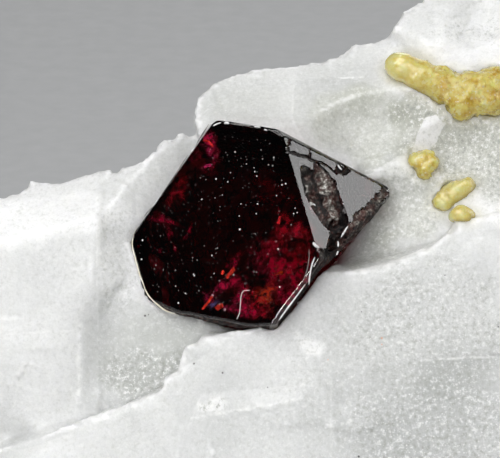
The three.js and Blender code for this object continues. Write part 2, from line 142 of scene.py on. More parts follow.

# Painted highlights along the crystal's edges and chips: thin white or grey lines that stand in
# for light caught there. Each gives the face it lies on, a line seen from the front, its
# thickness and whether it is white or grey.
PAINTED_EDGE_HIGHLIGHTS = [
    ("front", [(2.33, -0.79), (2.33, -1.14), (2.25, -1.62), (2.09, -2.05)], 0.022, "grey"),
    ("front", [(2.17, -2.19), (1.81, -2.69), (1.45, -3.18), (1.14, -3.62)], 0.032, "white"),
    ("front", [(2.56, -1.1), (2.44, -1.42), (2.36, -1.81), (2.32, -2.21)], 0.032, "white"),
    ("front", [(-1.5, 4.17), (-1.34, 4.25), (-1.17, 4.3)], 0.028, "white"),
    ("front", [(-1.05, 4.27), (-0.95, 4.28), (-0.83, 4.26)], 0.04, "white"),
    ("front", [(-0.81, 4.25), (-0.4, 4.2), (0.04, 4.13)], 0.035, "grey"),
    ("front", [(0.16, 4.1), (0.28, 4.1), (0.42, 4.07)], 0.036, "white"),
    ("front", [(0.56, 3.98), (0.62, 3.97), (0.69, 3.94)], 0.03, "white"),
    ("front", [(0.72, 4.0), (1.0, 3.85), (1.2, 3.7)], 0.018, "grey"),
    ("front", [(-1.66, 4.26), (-2.03, 3.69), (-2.23, 3.33)], 0.02, "grey"),
    ("front", [(-2.28, 3.29), (-2.34, 3.2), (-2.4, 3.13)], 0.03, "white"),
    ("front", [(-2.52, 3.01), (-3.06, 2.2), (-3.68, 1.31)], 0.018, "grey"),
    ("front", [(-3.72, 1.28), (-3.82, 1.14), (-3.95, 0.95)], 0.022, "white"),
    ("front", [(-3.98, 0.92), (-4.2, 0.68), (-4.34, 0.49)], 0.02, "grey"),
    ("right", [(2.48, -0.52), (2.58, -0.66), (2.74, -0.74)], 0.055, "white"),
    ("right", [(3.91, 0.12), (3.75, -0.12), (3.62, -0.32)], 0.036, "white"),
    ("right", [(3.49, -0.48), (3.5, -0.6), (3.49, -0.71)], 0.035, "white"),
    ("right", [(3.49, -0.87), (3.46, -0.95), (3.42, -1.03)], 0.03, "white"),
    ("right", [(3.53, 2.6), (3.6, 2.48), (3.7, 2.38)], 0.03, "white"),
    ("right", [(2.5, 1.0), (2.55, 0.97), (2.6, 0.92)], 0.03, "white"),
]

# The crystal's outline bulges past its flat faces at the left and the foot: place seen from
# the front, reach and how far it swells.
SWELLINGS = [((-4.75, -0.75), 0.9, 0.12), ((-4.2, -2.4), 1.0, 0.1), ((-3.2, -3.3), 1.0, 0.08)]

# Dust on the broad face: how many fine grains, then the place and radius of each bright one,
# and the line of a fibre.
DUST_COUNT = 340
BRIGHT_DUST = [
    ((-0.41, -0.02), 0.05), ((-1.37, 2.02), 0.04), ((1.42, 1.8), 0.04), ((-4.4, -0.46), 0.045),
    ((-4.44, -1.24), 0.04), ((-2.9, -3.0), 0.045), ((1.12, -0.8), 0.045), ((1.18, -2.3), 0.04),
    ((0.95, 2.85), 0.035), ((-0.6, 3.1), 0.035), ((-1.95, 1.2), 0.035), ((0.3, 1.0), 0.035),
]
FIBRE = [
    (0.0, -2.45), (-0.24, -2.48), (-0.34, -2.68), (-0.37, -3.06), (-0.41, -3.38), (-0.51, -3.6),
]
FIBRE_RADIUS = 0.013

# A thin cream-coloured skin of calcite along the crystal's left edge, seen from the front.
RIM_LINE = [
    (-4.65, 0.1), (-4.84, -0.45), (-4.82, -0.8), (-4.68, -1.3), (-4.55, -1.75),
    (-4.35, -2.3), (-4.12, -2.75), (-3.75, -3.1), (-3.35, -3.35), (-2.9, -3.5),
]

# Flakes inside the crystal, just under its broad face, that flash back the light: the line each
# follows seen from the front, its width and its colour.
RODS = {
    "flash": ([(-1.0, -1.97), (-0.82, -1.77), (-0.64, -1.56)], 0.17, "orange"),
    "beside the flash": ([(-1.17, -1.83), (-1.08, -1.65)], 0.13, "orange"),
    "low streak": ([(-1.98, -3.27), (-1.75, -2.98), (-1.53, -2.66)], 0.11, "orange"),
    "tip of the streak": ([(-1.57, -2.72), (-1.53, -2.62)], 0.1, "white"),
    "low spot": ([(-1.4, -3.24), (-1.25, -3.1), (-1.1, -3.05)], 0.2, "orange"),
    "tip of the spot": ([(-1.08, -3.27), (-1.0, -3.19)], 0.09, "white"),
    "upper glint": ([(-1.9, 2.5), (-1.72, 2.57), (-1.58, 2.6)], 0.13, "pink"),
    "right glint": ([(1.07, 0.2), (1.13, 0.4), (1.13, 0.52)], 0.12, "red"),
    "fan ridge": ([(-1.95, 3.6), (-1.7, 3.55), (-1.5, 3.3)], 0.1, "red"),
}

# Healed cracks deeper inside: faint sheets that fade out towards their edges. Each has a centre
# seen from the front, half length and half width, turn in degrees, depth, strength and colour.
VEILS = {
    "upper left fan": ((-1.72, 3.5), (0.55, 0.3), -70, 0.22, 1.0, "crimson"),
    "foot of the fan": ((-1.6, 3.15), (0.45, 0.22), -35, 0.3, 0.7, "crimson"),
    "behind the glint": ((-1.75, 2.5), (0.45, 0.3), 10, 0.4, 0.4, "crimson"),
    "beside the fan": ((-2.25, 2.9), (0.5, 0.3), -50, 0.45, 0.3, "crimson"),
    "upper edge": ((-3.05, 1.5), (0.8, 0.35), 55, 0.4, 0.45, "red"),
    "left streak": ((-3.6, 0.4), (0.65, 0.18), -18, 0.35, 0.6, "crimson"),
    "left branch": ((-3.35, -0.3), (0.65, 0.13), -68, 0.4, 0.5, "crimson"),
    "left short branch": ((-2.6, -0.1), (0.36, 0.1), 62, 0.4, 0.45, "crimson"),
    "left spot": ((-3.95, -0.85), (0.24, 0.14), 0, 0.35, 0.6, "crimson"),
    "right spot": ((1.9, -0.1), (0.4, 0.3), -25, 0.3, 0.9, "red"),
    "right haze": ((1.35, 0.15), (0.7, 0.5), -40, 0.5, 0.7, "red"),
    "small right haze": ((1.05, -0.6), (0.2, 0.24), 0, 0.4, 0.5, "red"),
    "lower right haze": ((1.3, -1.6), (1.2, 1.3), 20, 0.6, 0.8, "crimson"),
    "upper blotch": ((1.05, -1.65), (0.2, 0.22), 20, 0.25, 1.0, "orange"),
    "beside the blotch": ((1.5, -1.75), (0.3, 0.2), 60, 0.3, 0.5, "red"),
    "red blotch": ((0.62, -2.6), (0.55, 0.4), 60, 0.25, 1.0, "orange"),
    "around the blotch": ((0.1, -2.85), (0.8, 0.6), 0, 0.5, 0.9, "red"),
    "low pink": ((-0.4, -2.75), (0.34, 0.6), 0, 0.35, 1.0, "crimson"),
    "pink streak": ((-1.0, -2.2), (0.8, 0.26), 25, 0.35, 1.0, "crimson"),
    "over the flash": ((-0.75, -1.3), (0.45, 0.2), 55, 0.4, 0.6, "crimson"),
    "dark blue": ((-1.6, -3.1), (0.34, 0.14), 42, 0.2, 0.6, "blue"),
    "by the right edge": ((1.3, -2.5), (0.6, 0.8), 30, 0.5, 0.8, "crimson"),
    "foot": ((-0.3, -3.3), (0.8, 0.2), -8, 0.3, 0.9, "crimson"),
    "right foot": ((0.6, -3.4), (0.5, 0.2), -5, 0.35, 0.6, "red"),
    "middle": ((0.6, 1.6), (0.9, 0.5), -30, 0.9, 0.2, "crimson"),
    "centre": ((0.9, -0.6), (0.7, 0.6), 20, 0.7, 0.4, "crimson"),
    "behind the streak": ((-1.7, -2.75), (0.35, 0.25), 0, 0.3, 0.6, "crimson"),
}

# Where the calcite is clearer and greyer, or more frosted and whiter than the rest: soft
# ellipsoids as centre, radii, and how clear, how green and how granular each is. The greyer
# patches in the grotto, the granular hollow, beside the crystal's tip and notch and at its foot are
# partly painted shade in these recesses; the whiter ones at the crest, the white lobe and the top
# right corner are partly painted light on upper surfaces.
CALCITE_PATCHES = {
    "slab": ((2.5, -9.0, 1.0), (13.0, 6.0, 2.6), 0.12, 0.0, 0.1),
    "top": ((0.0, 6.5, -2.5), (6.0, 3.0, 2.6), 0.16, 0.1, 0.1),
    "right half of the slab": ((6.0, -6.0, 1.0), (6.0, 4.5, 2.6), 0.11, 0.0, 0.3),
    "grotto": ((-3.4, -4.9, -2.2), (3.2, 2.4, 1.15), 0.3, 0.2, 0.15),
    "sparkling floor": ((-4.0, -5.9, -2.2), (2.2, 1.35, 1.1), 0.1, 0.2, 1.0),
    "foot of the crystal": ((-2.6, -4.0, -1.6), (2.6, 0.9, 1.0), 0.3, 0.2, 0.2),
    "left of the crystal": ((-5.5, -1.2, -2.9), (1.1, 3.4, 1.5), 0.1, 0.1, 0.35),
    "bowl above the crystal": ((4.9, 4.4, -2.2), (2.9, 2.0, 1.6), 0.12, 0.9, 0.35),
    "granular hollow": ((9.0, 3.0, -2.2), (3.4, 2.3, 1.4), 0.35, 1.0, 1.0),
    "top of the hollow": ((7.2, 4.9, -2.2), (1.6, 0.8, 1.4), 0.4, 1.0, 1.0),
    "beside the tip": ((5.6, 1.0, -1.8), (2.4, 2.0, 1.4), 0.3, 0.8, 0.6),
    "right of the notch": ((4.7, -0.7, -1.4), (2.0, 1.1, 1.6), 0.3, 0.5, 0.5),
    "right of the slab": ((7.2, -4.0, 0.4), (4.0, 3.2, 1.6), 0.1, 0.1, 0.6),
    "low on the slab": ((7.6, -7.8, 1.0), (4.5, 2.6, 1.6), 0.0, 0.0, 0.8),
    "middle of the slab": ((2.0, -8.2, 0.8), (4.0, 2.0, 1.6), 0.05, 0.0, 0.2),
    "face above the crystal": ((0.8, 4.6, -2.6), (3.0, 1.6, 2.0), 0.05, 0.3, 0.1),
    "crest on the left": ((-8.5, 0.6, -2.6), (4.5, 1.3, 1.6), -0.45, 0.0, 0.0),
    "band over the long grain": ((8.6, 7.2, -2.6), (3.4, 0.7, 1.6), -0.4, 0.0, 0.0),
    "white lobe": ((9.4, 0.9, -1.0), (1.6, 0.7, 1.2), -0.36, 0.0, 0.0),
    "top right corner": ((9.5, 8.2, -2.6), (3.0, 0.8, 2.0), -0.2, 0.0, 0.5),
    "bruise on the slab": ((2.55, -4.6, 0.2), (0.75, 0.4, 1.0), -0.5, 0.0, 0.5),
    "small bruise": ((-1.45, -7.0, -0.2), (0.5, 0.25, 1.0), -0.5, 0.0, 0.9),
    "edge of the slab": ((-1.9, -5.2, -0.7), (1.6, 1.0, 0.6), -0.3, 0.0, 0.2),
}

# Cleavage plates that show through the front with crisp borders: corners seen from the front,
# anticlockwise, and how much clearer or whiter they are than the rest. The shade over the slab is
# a painted shadow and the shade over the plate is painted shade, not plates; the grotto plate is
# partly painted shade in its recess.
CALCITE_PLATES = {
    "crest": ([(-16, -1.4), (-6.26, 0.29), (-6.26, 3.2), (-16, 3.2)], -0.16),
    "beside the crystal": ([(-6.26, -7.2), (-1.5, -7.2), (-1.5, -4.2), (-3.6, 2.2), (-6.26, 2.2)],
     -0.05),
    "narrow strip": ([(-6.95, -7.4), (-6.0, -7.4), (-6.26, -3.7), (-6.95, -3.7)], 0.12),
    "grotto": ([(-6.2, -6.9), (-5.73, -7.3), (-0.6, -4.35), (-3.7, -3.3), (-4.5, -2.8),
     (-6.2, -2.9)], 0.22),
    "lower left block": ([(-16, -8.4), (-9.4, -8.3), (-7.7, -7.4), (-6.95, -7.4), (-6.95, -4.1),
     (-16, -4.4)], -0.06),
    "shade over the slab": ([(-16, -9.6), (-9.0, -8.9), (-5.0, -7.4), (-7.7, -7.4), (-9.4, -8.3),
     (-16, -8.5)], 0.2),
    "granular slab": ([(3.22, -12), (16, -12), (16, -5.0), (6.75, -5.24), (3.22, -5.6)], 0.07),
    "under the step line": ([(4.6, -9.5), (16, -9.5), (16, -5.0), (6.75, -5.24)], 0.1),
    "smooth plate": ([(-2.38, -7.6), (1.99, -6.75), (2.1, -6.15), (-1.99, -6.6)], -0.16),
    "round flake": ([(3.57, -7.19), (3.97, -7.94), (4.84, -7.86), (5.04, -7.11), (4.61, -6.59),
     (3.89, -6.63)], -0.12),
    "left of the slab": ([(-9, -12), (-2.98, -12), (-2.98, -7.2), (-9, -8.8)], -0.05),
    "bowl": ([(2.25, 3.4), (5.0, 2.8), (6.0, 3.15), (6.6, 4.5), (6.1, 5.5), (3.9, 6.3),
     (1.84, 6.1), (1.72, 4.57)], 0.16),
    "foot of the ridge": ([(4.99, 2.33), (6.95, 2.62), (6.95, 3.07), (6.01, 2.94)], -0.4),
    "ridge": ([(6.6, 3.09), (7.3, 3.18), (7.65, 3.6), (7.95, 4.26), (7.57, 4.63), (7.16, 4.56),
     (6.88, 4.0)], -1.1),
    "bright band": ([(7.08, 7.24), (7.8, 6.83), (9.0, 6.67), (16, 6.6), (16, 7.8), (10.2, 7.65),
     (8.67, 7.57)], -0.3),
    "plate by the small grain": ([(4.8, 1.7), (6.6, 1.5), (6.9, 2.6), (4.99, 2.33)], -0.28),
    "shade over the plate": ([(4.3, 2.1), (4.99, 2.33), (6.6, 3.1), (6.5, 3.6), (4.5, 2.8)], 0.22),
}
# Plates whiter than this are smooth.
SMOOTH_PLATE = -0.3

# Painted highlights: thin bright lines where cleavage planes meet the front. Each gives the ends
# seen from the front, half width and how bright each is.
CALCITE_SEAM_HIGHLIGHTS = {
    "rough strip": ((-6.95, -3.8), (-7.0, -7.1), 0.09, 0.9),
    "block top": ((-10.4, -4.33), (-6.95, -4.1), 0.03, 0.4),
    "upright line": ((-6.26, 0.3), (-6.26, -3.2), 0.03, 0.5),
    "under the smooth plate": ((-2.38, -7.6), (1.99, -6.75), 0.05, 0.8),
    "side of the smooth plate": ((1.99, -6.75), (2.1, -6.15), 0.04, 0.6),
    "step on the slab": ((6.75, -5.22), (9.85, -5.08), 0.04, 0.8),
    "top of the band": ((7.08, 7.24), (8.67, 7.57), 0.04, 0.7),
    "bowl rim": ((1.84, 6.1), (1.72, 4.57), 0.04, 0.35),
    "bowl rim foot": ((1.72, 4.57), (2.25, 3.4), 0.04, 0.35),
    "line over the bowl": ((3.5, 6.25), (4.7, 6.2), 0.03, 0.7),
    "faint upright": ((3.22, -9.2), (3.22, -5.6), 0.04, 0.3),
}

# Where the steps of the solid are blended away: centre, radii and how often it is smoothed.
SOFT_PLACES = {
    "groove beside the lower left block": ((-6.7, -4.6, -2.6), (2.4, 3.6, 2.4), 160),
    "strip by the grotto": ((-7.8, -7.2, -2.4), (1.6, 1.8, 1.5), 30),
    "fold right of the crystal": ((4.9, -0.7, -1.6), (2.9, 1.5, 2.4), 160),
    "crease under the crest": ((6.6, 7.4, -3.0), (2.2, 1.1, 2.4), 70),
    "foot of the lower left block": ((-9.0, -8.2, -2.4), (2.4, 1.2, 1.5), 40),
}

# Specks of dirt on the calcite: place seen from the front, radius and kind.
CALCITE_SPECKS = [
    ((-4.3, -3.55), 0.05, "dark"), ((-4.15, -3.5), 0.03, "dark"), ((-2.25, -5.4), 0.045, "dark"),
    ((-1.1, -5.75), 0.045, "dark"), ((4.3, -9.0), 0.05, "dark"), ((5.25, -4.35), 0.05, "orange"),
    ((5.25, -4.6), 0.035, "orange"), ((4.45, -3.3), 0.03, "dark"), ((7.8, -1.85), 0.03, "dark"),
    ((9.9, -3.9), 0.035, "dark"), ((0.7, -6.3), 0.03, "dark"), ((3.1, -5.2), 0.03, "orange"),
]

# The long yellow grain is smooth up to the first of these places across, rough past the second.
SMOOTH_HEAD = (6.1, 7.6)
GRAIN_VOXEL = 0.06
# The small grains are cut flat between the points furthest out in so many directions.
GRAIN_CORNERS = 22
# How often the long grain's mesh is smoothed, and the small ones'.
LONG_GRAIN_ROUNDS = 22
SMALL_GRAIN_ROUNDS = 2


def to_front(points):
    """World points in metres, as front-frame points in millimetres."""
    return (points / MM - ORIGIN) @ AXES.T


def to_world(points):
    """Front-frame points in millimetres, as world points in metres."""
    return (np.asarray(points, float) @ AXES + ORIGIN) * MM


def world_direction(u, v, w):
    return Vector(np.array([u, v, w], float) @ AXES).normalized()


# ---------------------------------------------------------------- mesh helpers


def link(obj):
    bpy.context.scene.collection.objects.link(obj)
    return obj


def read_vectors(items, name):
    """One vector of each of a mesh's items."""
    flat = np.empty(len(items) * 3)
    items.foreach_get(name, flat)
    return flat.reshape(-1, 3)


def read_points(mesh):
    return read_vectors(mesh.vertices, "co")


def read_normals(mesh):
    return read_vectors(mesh.vertex_normals, "vector")


def write_points(mesh, points):
    mesh.vertices.foreach_set("co", np.asarray(points, float).ravel())
    mesh.update()


def set_attribute(mesh, name, values):
    attribute = mesh.attributes.new(name, "FLOAT", "POINT")
    attribute.data.foreach_set("value", np.asarray(values, np.float32))


def add_materials(piece, materials, chosen):
    """Gives a piece its materials, and each of its faces the number of one of them."""
    for material in materials:
        piece.data.materials.append(material)
    piece.data.polygons.foreach_set("material_index", chosen)


def shade_smooth(obj, sharp_angle=None):
    obj.data.shade_smooth()
    if sharp_angle is not None:
        obj.data.set_sharp_from_angle(angle=math.radians(sharp_angle))


def apply_modifiers(obj):
    """Replaces an object's mesh with what its modifiers make of it."""
    graph = bpy.context.evaluated_depsgraph_get()
    made = bpy.data.meshes.new_from_object(obj.evaluated_get(graph))
    obj.modifiers.clear()
    obj.data = made


def hull_planes(mesh):
    """The flat faces of a mesh's convex hull, as unit normals and distances, in metres."""
    shape = bmesh.new()
    shape.from_mesh(mesh)
    hull = bmesh.ops.convex_hull(shape, input=shape.verts)["geom"]
    faces = [face for face in hull if isinstance(face, bmesh.types.BMFace)]
    planes = []
    for face in sorted(faces, key=lambda face: -face.calc_area()):
        normal = np.array(face.normal)
        distance = normal @ np.array(face.verts[0].co)
        known = any(
            normal @ other > 0.9998 and abs(distance - reach) < 0.02 * MM
            for other, reach in planes
        )
        if not known:
            planes.append((normal, distance))
    shape.free()
    return np.array([p[0] for p in planes]), np.array([p[1] for p in planes])


def copy_node(node, name):
    """A new object with a copy of a CAD node's mesh, its corners welded."""
    obj = link(bpy.data.objects.new(name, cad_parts[node].data.copy()))
    obj.data.materials.clear()
    shape = bmesh.new()
    shape.from_mesh(obj.data)
    bmesh.ops.remove_doubles(shape, verts=shape.verts, dist=1e-4 * MM)
    shape.to_mesh(obj.data)
    shape.free()
    return obj


def voxel_remesh(obj, size):
    remesh = obj.modifiers.new("remesh", "REMESH")
    remesh.mode = "VOXEL"
    remesh.voxel_size = size * MM
    apply_modifiers(obj)


def decimate(obj, triangles, weights):
    """Takes triangles away where the surface is plainest and the weights are high, until
    so many are left."""
    present = sum(len(p.vertices) - 2 for p in obj.data.polygons)
    group = obj.vertex_groups.new(name="spare")
    for level in range(1, 11):
        chosen = np.nonzero(np.ceil(np.clip(weights, 0, 1) * 10) == level)[0]
        group.add([int(index) for index in chosen], level / 10, "REPLACE")
    modifier = obj.modifiers.new("decimate", "DECIMATE")
    modifier.ratio = min(1, triangles / present)
    modifier.vertex_group = group.name
    modifier.vertex_group_factor = 3
    apply_modifiers(obj)
    obj.vertex_groups.clear()


def neighbour_mean(mesh, values, rounds):
    """Vertex values after averaging them with their neighbours' a few times."""
    ends = np.empty(len(mesh.edges) * 2, int)
    mesh.edges.foreach_get("vertices", ends)
    ends = ends.reshape(-1, 2)
    first = np.concatenate([ends[:, 0], ends[:, 1]])
    second = np.concatenate([ends[:, 1], ends[:, 0]])
    count = np.maximum(np.bincount(first, minlength=len(values)), 1)
    for _ in range(rounds):
        columns = [
            np.bincount(first, weights=column[second], minlength=len(values)) / count
            for column in np.atleast_2d(values.T)
        ]
        values = (values + np.array(columns).T.reshape(values.shape)) / 2
    return values


def convexity(mesh, rounds):
    """How far each vertex stands out from the smoothed surface, in millimetres."""
    points = read_points(mesh)
    away = points - neighbour_mean(mesh, points, rounds)
    return (away * read_normals(mesh)).sum(axis=1) / MM


def object_tree(obj):
    shape = bmesh.new()
    shape.from_mesh(obj.data)
    tree = BVHTree.FromBMesh(shape)
    shape.free()
    return tree


def near_box(points, obj, reach):
    """Which points lie within reach of an object's box."""
    corners = read_points(obj.data)
    low, high = corners.min(axis=0) - reach, corners.max(axis=0) + reach
    return np.nonzero(((points > low) & (points < high)).all(axis=1))[0]


def distance_from(points, obj, most=1.0):
    """The distance of points from an object's surface, in millimetres, up to a most."""
    tree = object_tree(obj)
    distance = np.full(len(points), most)
    for index in near_box(points, obj, most * MM):
        place, _, _, away = tree.find_nearest(points[index], most * MM)
        if place is not None:
            distance[index] = away / MM
    return distance


def line_distance(points, line):
    """The distance of flat points from a line of straight stretches."""
    nearest = np.full(len(points), np.inf)
    for start, end in zip(np.array(line), np.array(line)[1:]):
        along = end - start
        share = np.clip((points - start) @ along / (along @ along), 0, 1)
        away = np.linalg.norm(points - start - share[:, None] * along, axis=1)
        nearest = np.minimum(nearest, away)
    return nearest


def smooth_line(corners, steps):
    """Points along a smooth curve through the corners."""
    corners = np.array(corners, float)
    ends = np.vstack([2 * corners[0] - corners[1], corners, 2 * corners[-1] - corners[-2]])
    line = []
    for a, b, c, d in zip(ends, ends[1:], ends[2:], ends[3:]):
        for t in np.linspace(0, 1, steps, endpoint=False):
            bend = (2 * a - 5 * b + 4 * c - d) * t + (3 * b - a - 3 * c + d) * t * t
            line.append(b + 0.5 * t * (c - a + bend))
    line.append(corners[-1])
    return np.array(line)


def end_taper(line, low, high):
    """Rises from 0 to 1 over the points at each end of a line, between two counts of them."""
    count = np.arange(len(line))
    return smooth_step(np.minimum(count, count[::-1]), low, high)


def add_tube(shape, path, radii, sides):
    """Adds a closed tube along front-frame points in millimetres to a bmesh."""
    rings = []
    for index, centre in enumerate(path):
        along = path[min(index + 1, len(path) - 1)] - path[max(index - 1, 0)]
        along /= np.linalg.norm(along)
        first = np.cross(along, (0, 0, 1))
        first /= np.linalg.norm(first)
        other = np.cross(along, first)
        angles = np.arange(sides) * 2 * math.pi / sides
        ring = centre + radii[index] * (
            np.outer(np.cos(angles), first) + np.outer(np.sin(angles), other)
        )
        rings.append([shape.verts.new(point) for point in to_world(ring)])
    for lower, upper in zip(rings, rings[1:]):
        for step in range(sides):
            after = (step + 1) % sides
            shape.faces.new((lower[step], lower[after], upper[after], upper[step]))
    shape.faces.new(rings[0][::-1])
    shape.faces.new(rings[-1])


def add_speck(shape, place, normal, radius):
    """Adds one flattened grain to a bmesh, sunk a little into the face under it."""
    turn = Vector(normal).to_track_quat("Z", "Y").to_matrix().to_4x4()
    matrix = Matrix.Translation(Vector(place)) @ turn @ Matrix.Diagonal((1, 1, 0.6, 1))
    bmesh.ops.create_icosphere(shape, subdivisions=1, radius=radius, matrix=matrix)


def finish_mesh(name, shape):
    """Turns a bmesh into a smooth object."""
    mesh = bpy.data.meshes.new(name)
    bmesh.ops.recalc_face_normals(shape, faces=shape.faces)
    shape.to_mesh(mesh)
    shape.free()
    piece = link(bpy.data.objects.new(name, mesh))
    shade_smooth(piece)
    return piece


# ---------------------------------------------------------------- noise


def gradient_noise(points, size, seed):
    """Smooth noise from about -1 to 1, with waves of about the given size."""
    random = np.random.default_rng(seed)
    table = random.permutation(256)
    slopes = random.normal(size=(256, 3))
    slopes /= np.linalg.norm(slopes, axis=1)[:, None]
    scaled = points / size
    cell = np.floor(scaled).astype(int)
    inside = scaled - cell
    fade = inside**3 * (inside * (inside * 6 - 15) + 10)
    total = np.zeros(len(points))
    for corner in itertools.product((0, 1), repeat=3):
        key = table[(cell[:, 0] + corner[0]) & 255]
        key = table[(key + cell[:, 1] + corner[1]) & 255]
        key = table[(key + cell[:, 2] + corner[2]) & 255]
        weight = np.where(corner, fade, 1 - fade).prod(axis=1)
        total += weight * ((inside - corner) * slopes[key]).sum(axis=1)
    return 1.8 * total


def layered_noise(points, size, seed, layers):
    """Noise with finer and fainter waves on it."""
    return sum(gradient_noise(points, size / 2**i, seed + i) / 2**i for i in range(layers))


def shifts(points, size, seed, layers):
    """A noise vector at each point, from three seeds in a row."""
    return np.stack([layered_noise(points, size, seed + i, layers) for i in range(3)], axis=1)


def smooth_step(value, low, high):
    t = np.clip((value - low) / (high - low), 0, 1)
    return t * t * (3 - 2 * t)


def facet_relief(points, size, seed, steepness):
    """The height of a mosaic of small tilted facets at each point."""
    random = np.random.default_rng(seed)
    spread = points.max(axis=0) - points.min(axis=0)
    area = 2 * (spread[0] * spread[1] + spread[1] * spread[2] + spread[2] * spread[0])
    count = min(len(points), int(area / size**2))
    centres = points[random.choice(len(points), count, replace=False)]
    tilts = random.normal(scale=steepness, size=(count, 3))
    tree = KDTree(count)
    for index, centre in enumerate(centres):
        tree.insert(centre, index)
    tree.balance()
    nearest = np.array([tree.find(point)[1] for point in points])
    return (tilts[nearest] * (points - centres[nearest])).sum(axis=1)


def terraces(points, size, seed, height):
    """Shallow cleavage steps: the ground rises by one height at each wandering line."""
    field = 2.2 * gradient_noise(points, size, seed)
    field += 0.35 * layered_noise(points, size / 5, seed + 10, 3)
    lower = np.floor(field)
    return height * (lower + smooth_step(field - lower, 0, 0.14))


# ---------------------------------------------------------------- materials

# The middle of the random colours that a texture gives.
MIDDLE = (0.5, 0.5, 0.5)


class Nodes:
    """A small helper that adds and joins a material's nodes. Where it takes a value, it takes
    another node's output as well."""

    def __init__(self, name):
        self.material = bpy.data.materials.new(name)
        self.material.use_nodes = True
        self.tree = self.material.node_tree
        self.shader = self.tree.nodes["Principled BSDF"]
        self.output = self.tree.nodes["Material Output"]

    def feed(self, socket, value):
        if isinstance(value, bpy.types.NodeSocket):
            self.tree.links.new(value, socket)
        elif socket.type == "RGBA":
            socket.default_value = (*value, 1)
        else:
            socket.default_value = value

    def add(self, kind, inputs, **settings):
        node = self.tree.nodes.new("ShaderNode" + kind)
        for key, value in settings.items():
            setattr(node, key, value)
        for key, value in inputs.items():
            self.feed(node.inputs[key], value)
        return node

    def set(self, **values):
        """Feeds the shader's own sockets. A name's underscores stand for spaces."""
        for key, value in values.items():
            self.feed(self.shader.inputs[key.replace("_", " ")], value)

    def absorb(self, colour, density):
        """Lets the piece's inside swallow light."""
        volume = self.add("VolumeAbsorption", {"Color": colour, "Density": density})
        self.feed(self.output.inputs["Volume"], volume.outputs["Volume"])

    def fade(self, cover):
        """Lets light pass straight through wherever the cover is not full."""
        gap = self.add("BsdfTransparent", {}).outputs["BSDF"]
        blend = self.add("MixShader", {"Fac": cover, 1: gap, 2: self.shader.outputs["BSDF"]})
        self.feed(self.output.inputs["Surface"], blend.outputs["Shader"])

    def math(self, operation, first, second):
        return self.add("Math", {0: first, 1: second}, operation=operation).outputs["Value"]

    def vector(self, operation, first, second):
        """A step of vector arithmetic. SCALE takes a number as its second value."""
        key = "Scale" if operation == "SCALE" else 1
        node = self.add("VectorMath", {0: first, key: second}, operation=operation)
        return node.outputs["Value" if operation == "DOT_PRODUCT" else "Vector"]

    def ramp(self, value, low, high, start=0, end=1):
        """Maps a value from the range low..high to the range start..end."""
        ends = {"From Min": low, "From Max": high, "To Min": start, "To Max": end}
        return self.add("MapRange", {"Value": value, **ends}).outputs["Result"]

    def mix(self, amount, first, second):
        """Mixes two colours."""
        inputs = {"Factor": amount, 6: first, 7: second}
        return self.add("Mix", inputs, data_type="RGBA").outputs[2]

    def blend(self, value, low, high, first, second):
        """Goes from one colour to another as a value rises from low to high."""
        return self.mix(self.ramp(value, low, high), first, second)

    def place(self):
        """Object coordinates in millimetres."""
        return self.vector("SCALE", self.add("TexCoord", {}).outputs["Object"], 1 / MM)

    def attribute(self, name):
        return self.add("Attribute", {}, attribute_name=name).outputs["Fac"]

    def noise(self, place, size, detail=3.0, roughness=0.55):
        inputs = {"Vector": place, "Scale": 1 / size, "Detail": detail, "Roughness": roughness}
        return self.add("TexNoise", inputs).outputs["Fac"]

    def bend(self, place, size, amount):
        """The place shifted about by noise, so that straight borders turn ragged."""
        cloud = self.add("TexNoise", {"Vector": place, "Scale": 1 / size, "Detail": 4})
        away = self.vector("SUBTRACT", cloud.outputs["Color"], MIDDLE)
        return self.vector("ADD", place, self.vector("SCALE", away, amount))

    def cells(self, place, size):
        """A mosaic of cells: the distance to each one's middle, its place and its colour."""
        return self.add("TexVoronoi", {"Vector": place, "Scale": 1 / size}).outputs

    def facets(self, place, size):
        """The height of small flat facets, each tilted its own way, in millimetres."""
        cells = self.cells(place, size)
        tilt = self.vector("SUBTRACT", cells["Color"], MIDDLE)
        away = self.vector("SUBTRACT", place, self.vector("SCALE", cells["Position"], size))
        return self.vector("DOT_PRODUCT", tilt, away)

    def specks(self, place, size, sparse):
        """Small round specks in some of the cells of a mosaic. More are left out as
        `sparse` rises to 1."""
        cells = self.cells(place, size)
        spot = self.ramp(cells["Distance"], 0.12, 0.34, 1, 0)
        pick = self.add("SeparateColor", {"Color": cells["Color"]}).outputs["Red"]
        return self.math("MULTIPLY", spot, self.math("GREATER_THAN", pick, sparse))

    def glitter(self, place, fine, coarse, amount):
        """Specks of two sizes, each given with how sparse they are, of an amount."""
        both = self.math("MAXIMUM", self.specks(place, *fine), self.specks(place, *coarse))
        return self.math("MULTIPLY", both, amount)

    def half_plane(self, place, start, end, softness):
        """1 to the left of the line from start to end, seen from the front, and 0 beyond."""
        along = np.subtract(end, start) / np.linalg.norm(np.subtract(end, start))
        inward = -along[1] * RIGHT + along[0] * UP
        across = self.vector("DOT_PRODUCT", place, inward)
        offset = inward @ (ORIGIN + start[0] * RIGHT + start[1] * UP)
        return self.ramp(across, offset - softness, offset + softness)

    def plate(self, place, corners, softness):
        """1 inside a convex outline seen from the front, and 0 outside."""
        ends = zip(corners, corners[1:] + corners[:1])
        share, *others = [self.half_plane(place, start, end, softness) for start, end in ends]
        for other in others:
            share = self.math("MINIMUM", share, other)
        return share

    def seam(self, place, start, end, width):
        """A thin line seen from the front: 1 along its middle, fading to either side."""
        start, end = np.array([start, end], float)
        along = (end - start) / np.linalg.norm(end - start)
        side = np.array([-along[1], along[0]]) * width
        return self.plate(place, [start - side, end - side, end + side, start + side], width)

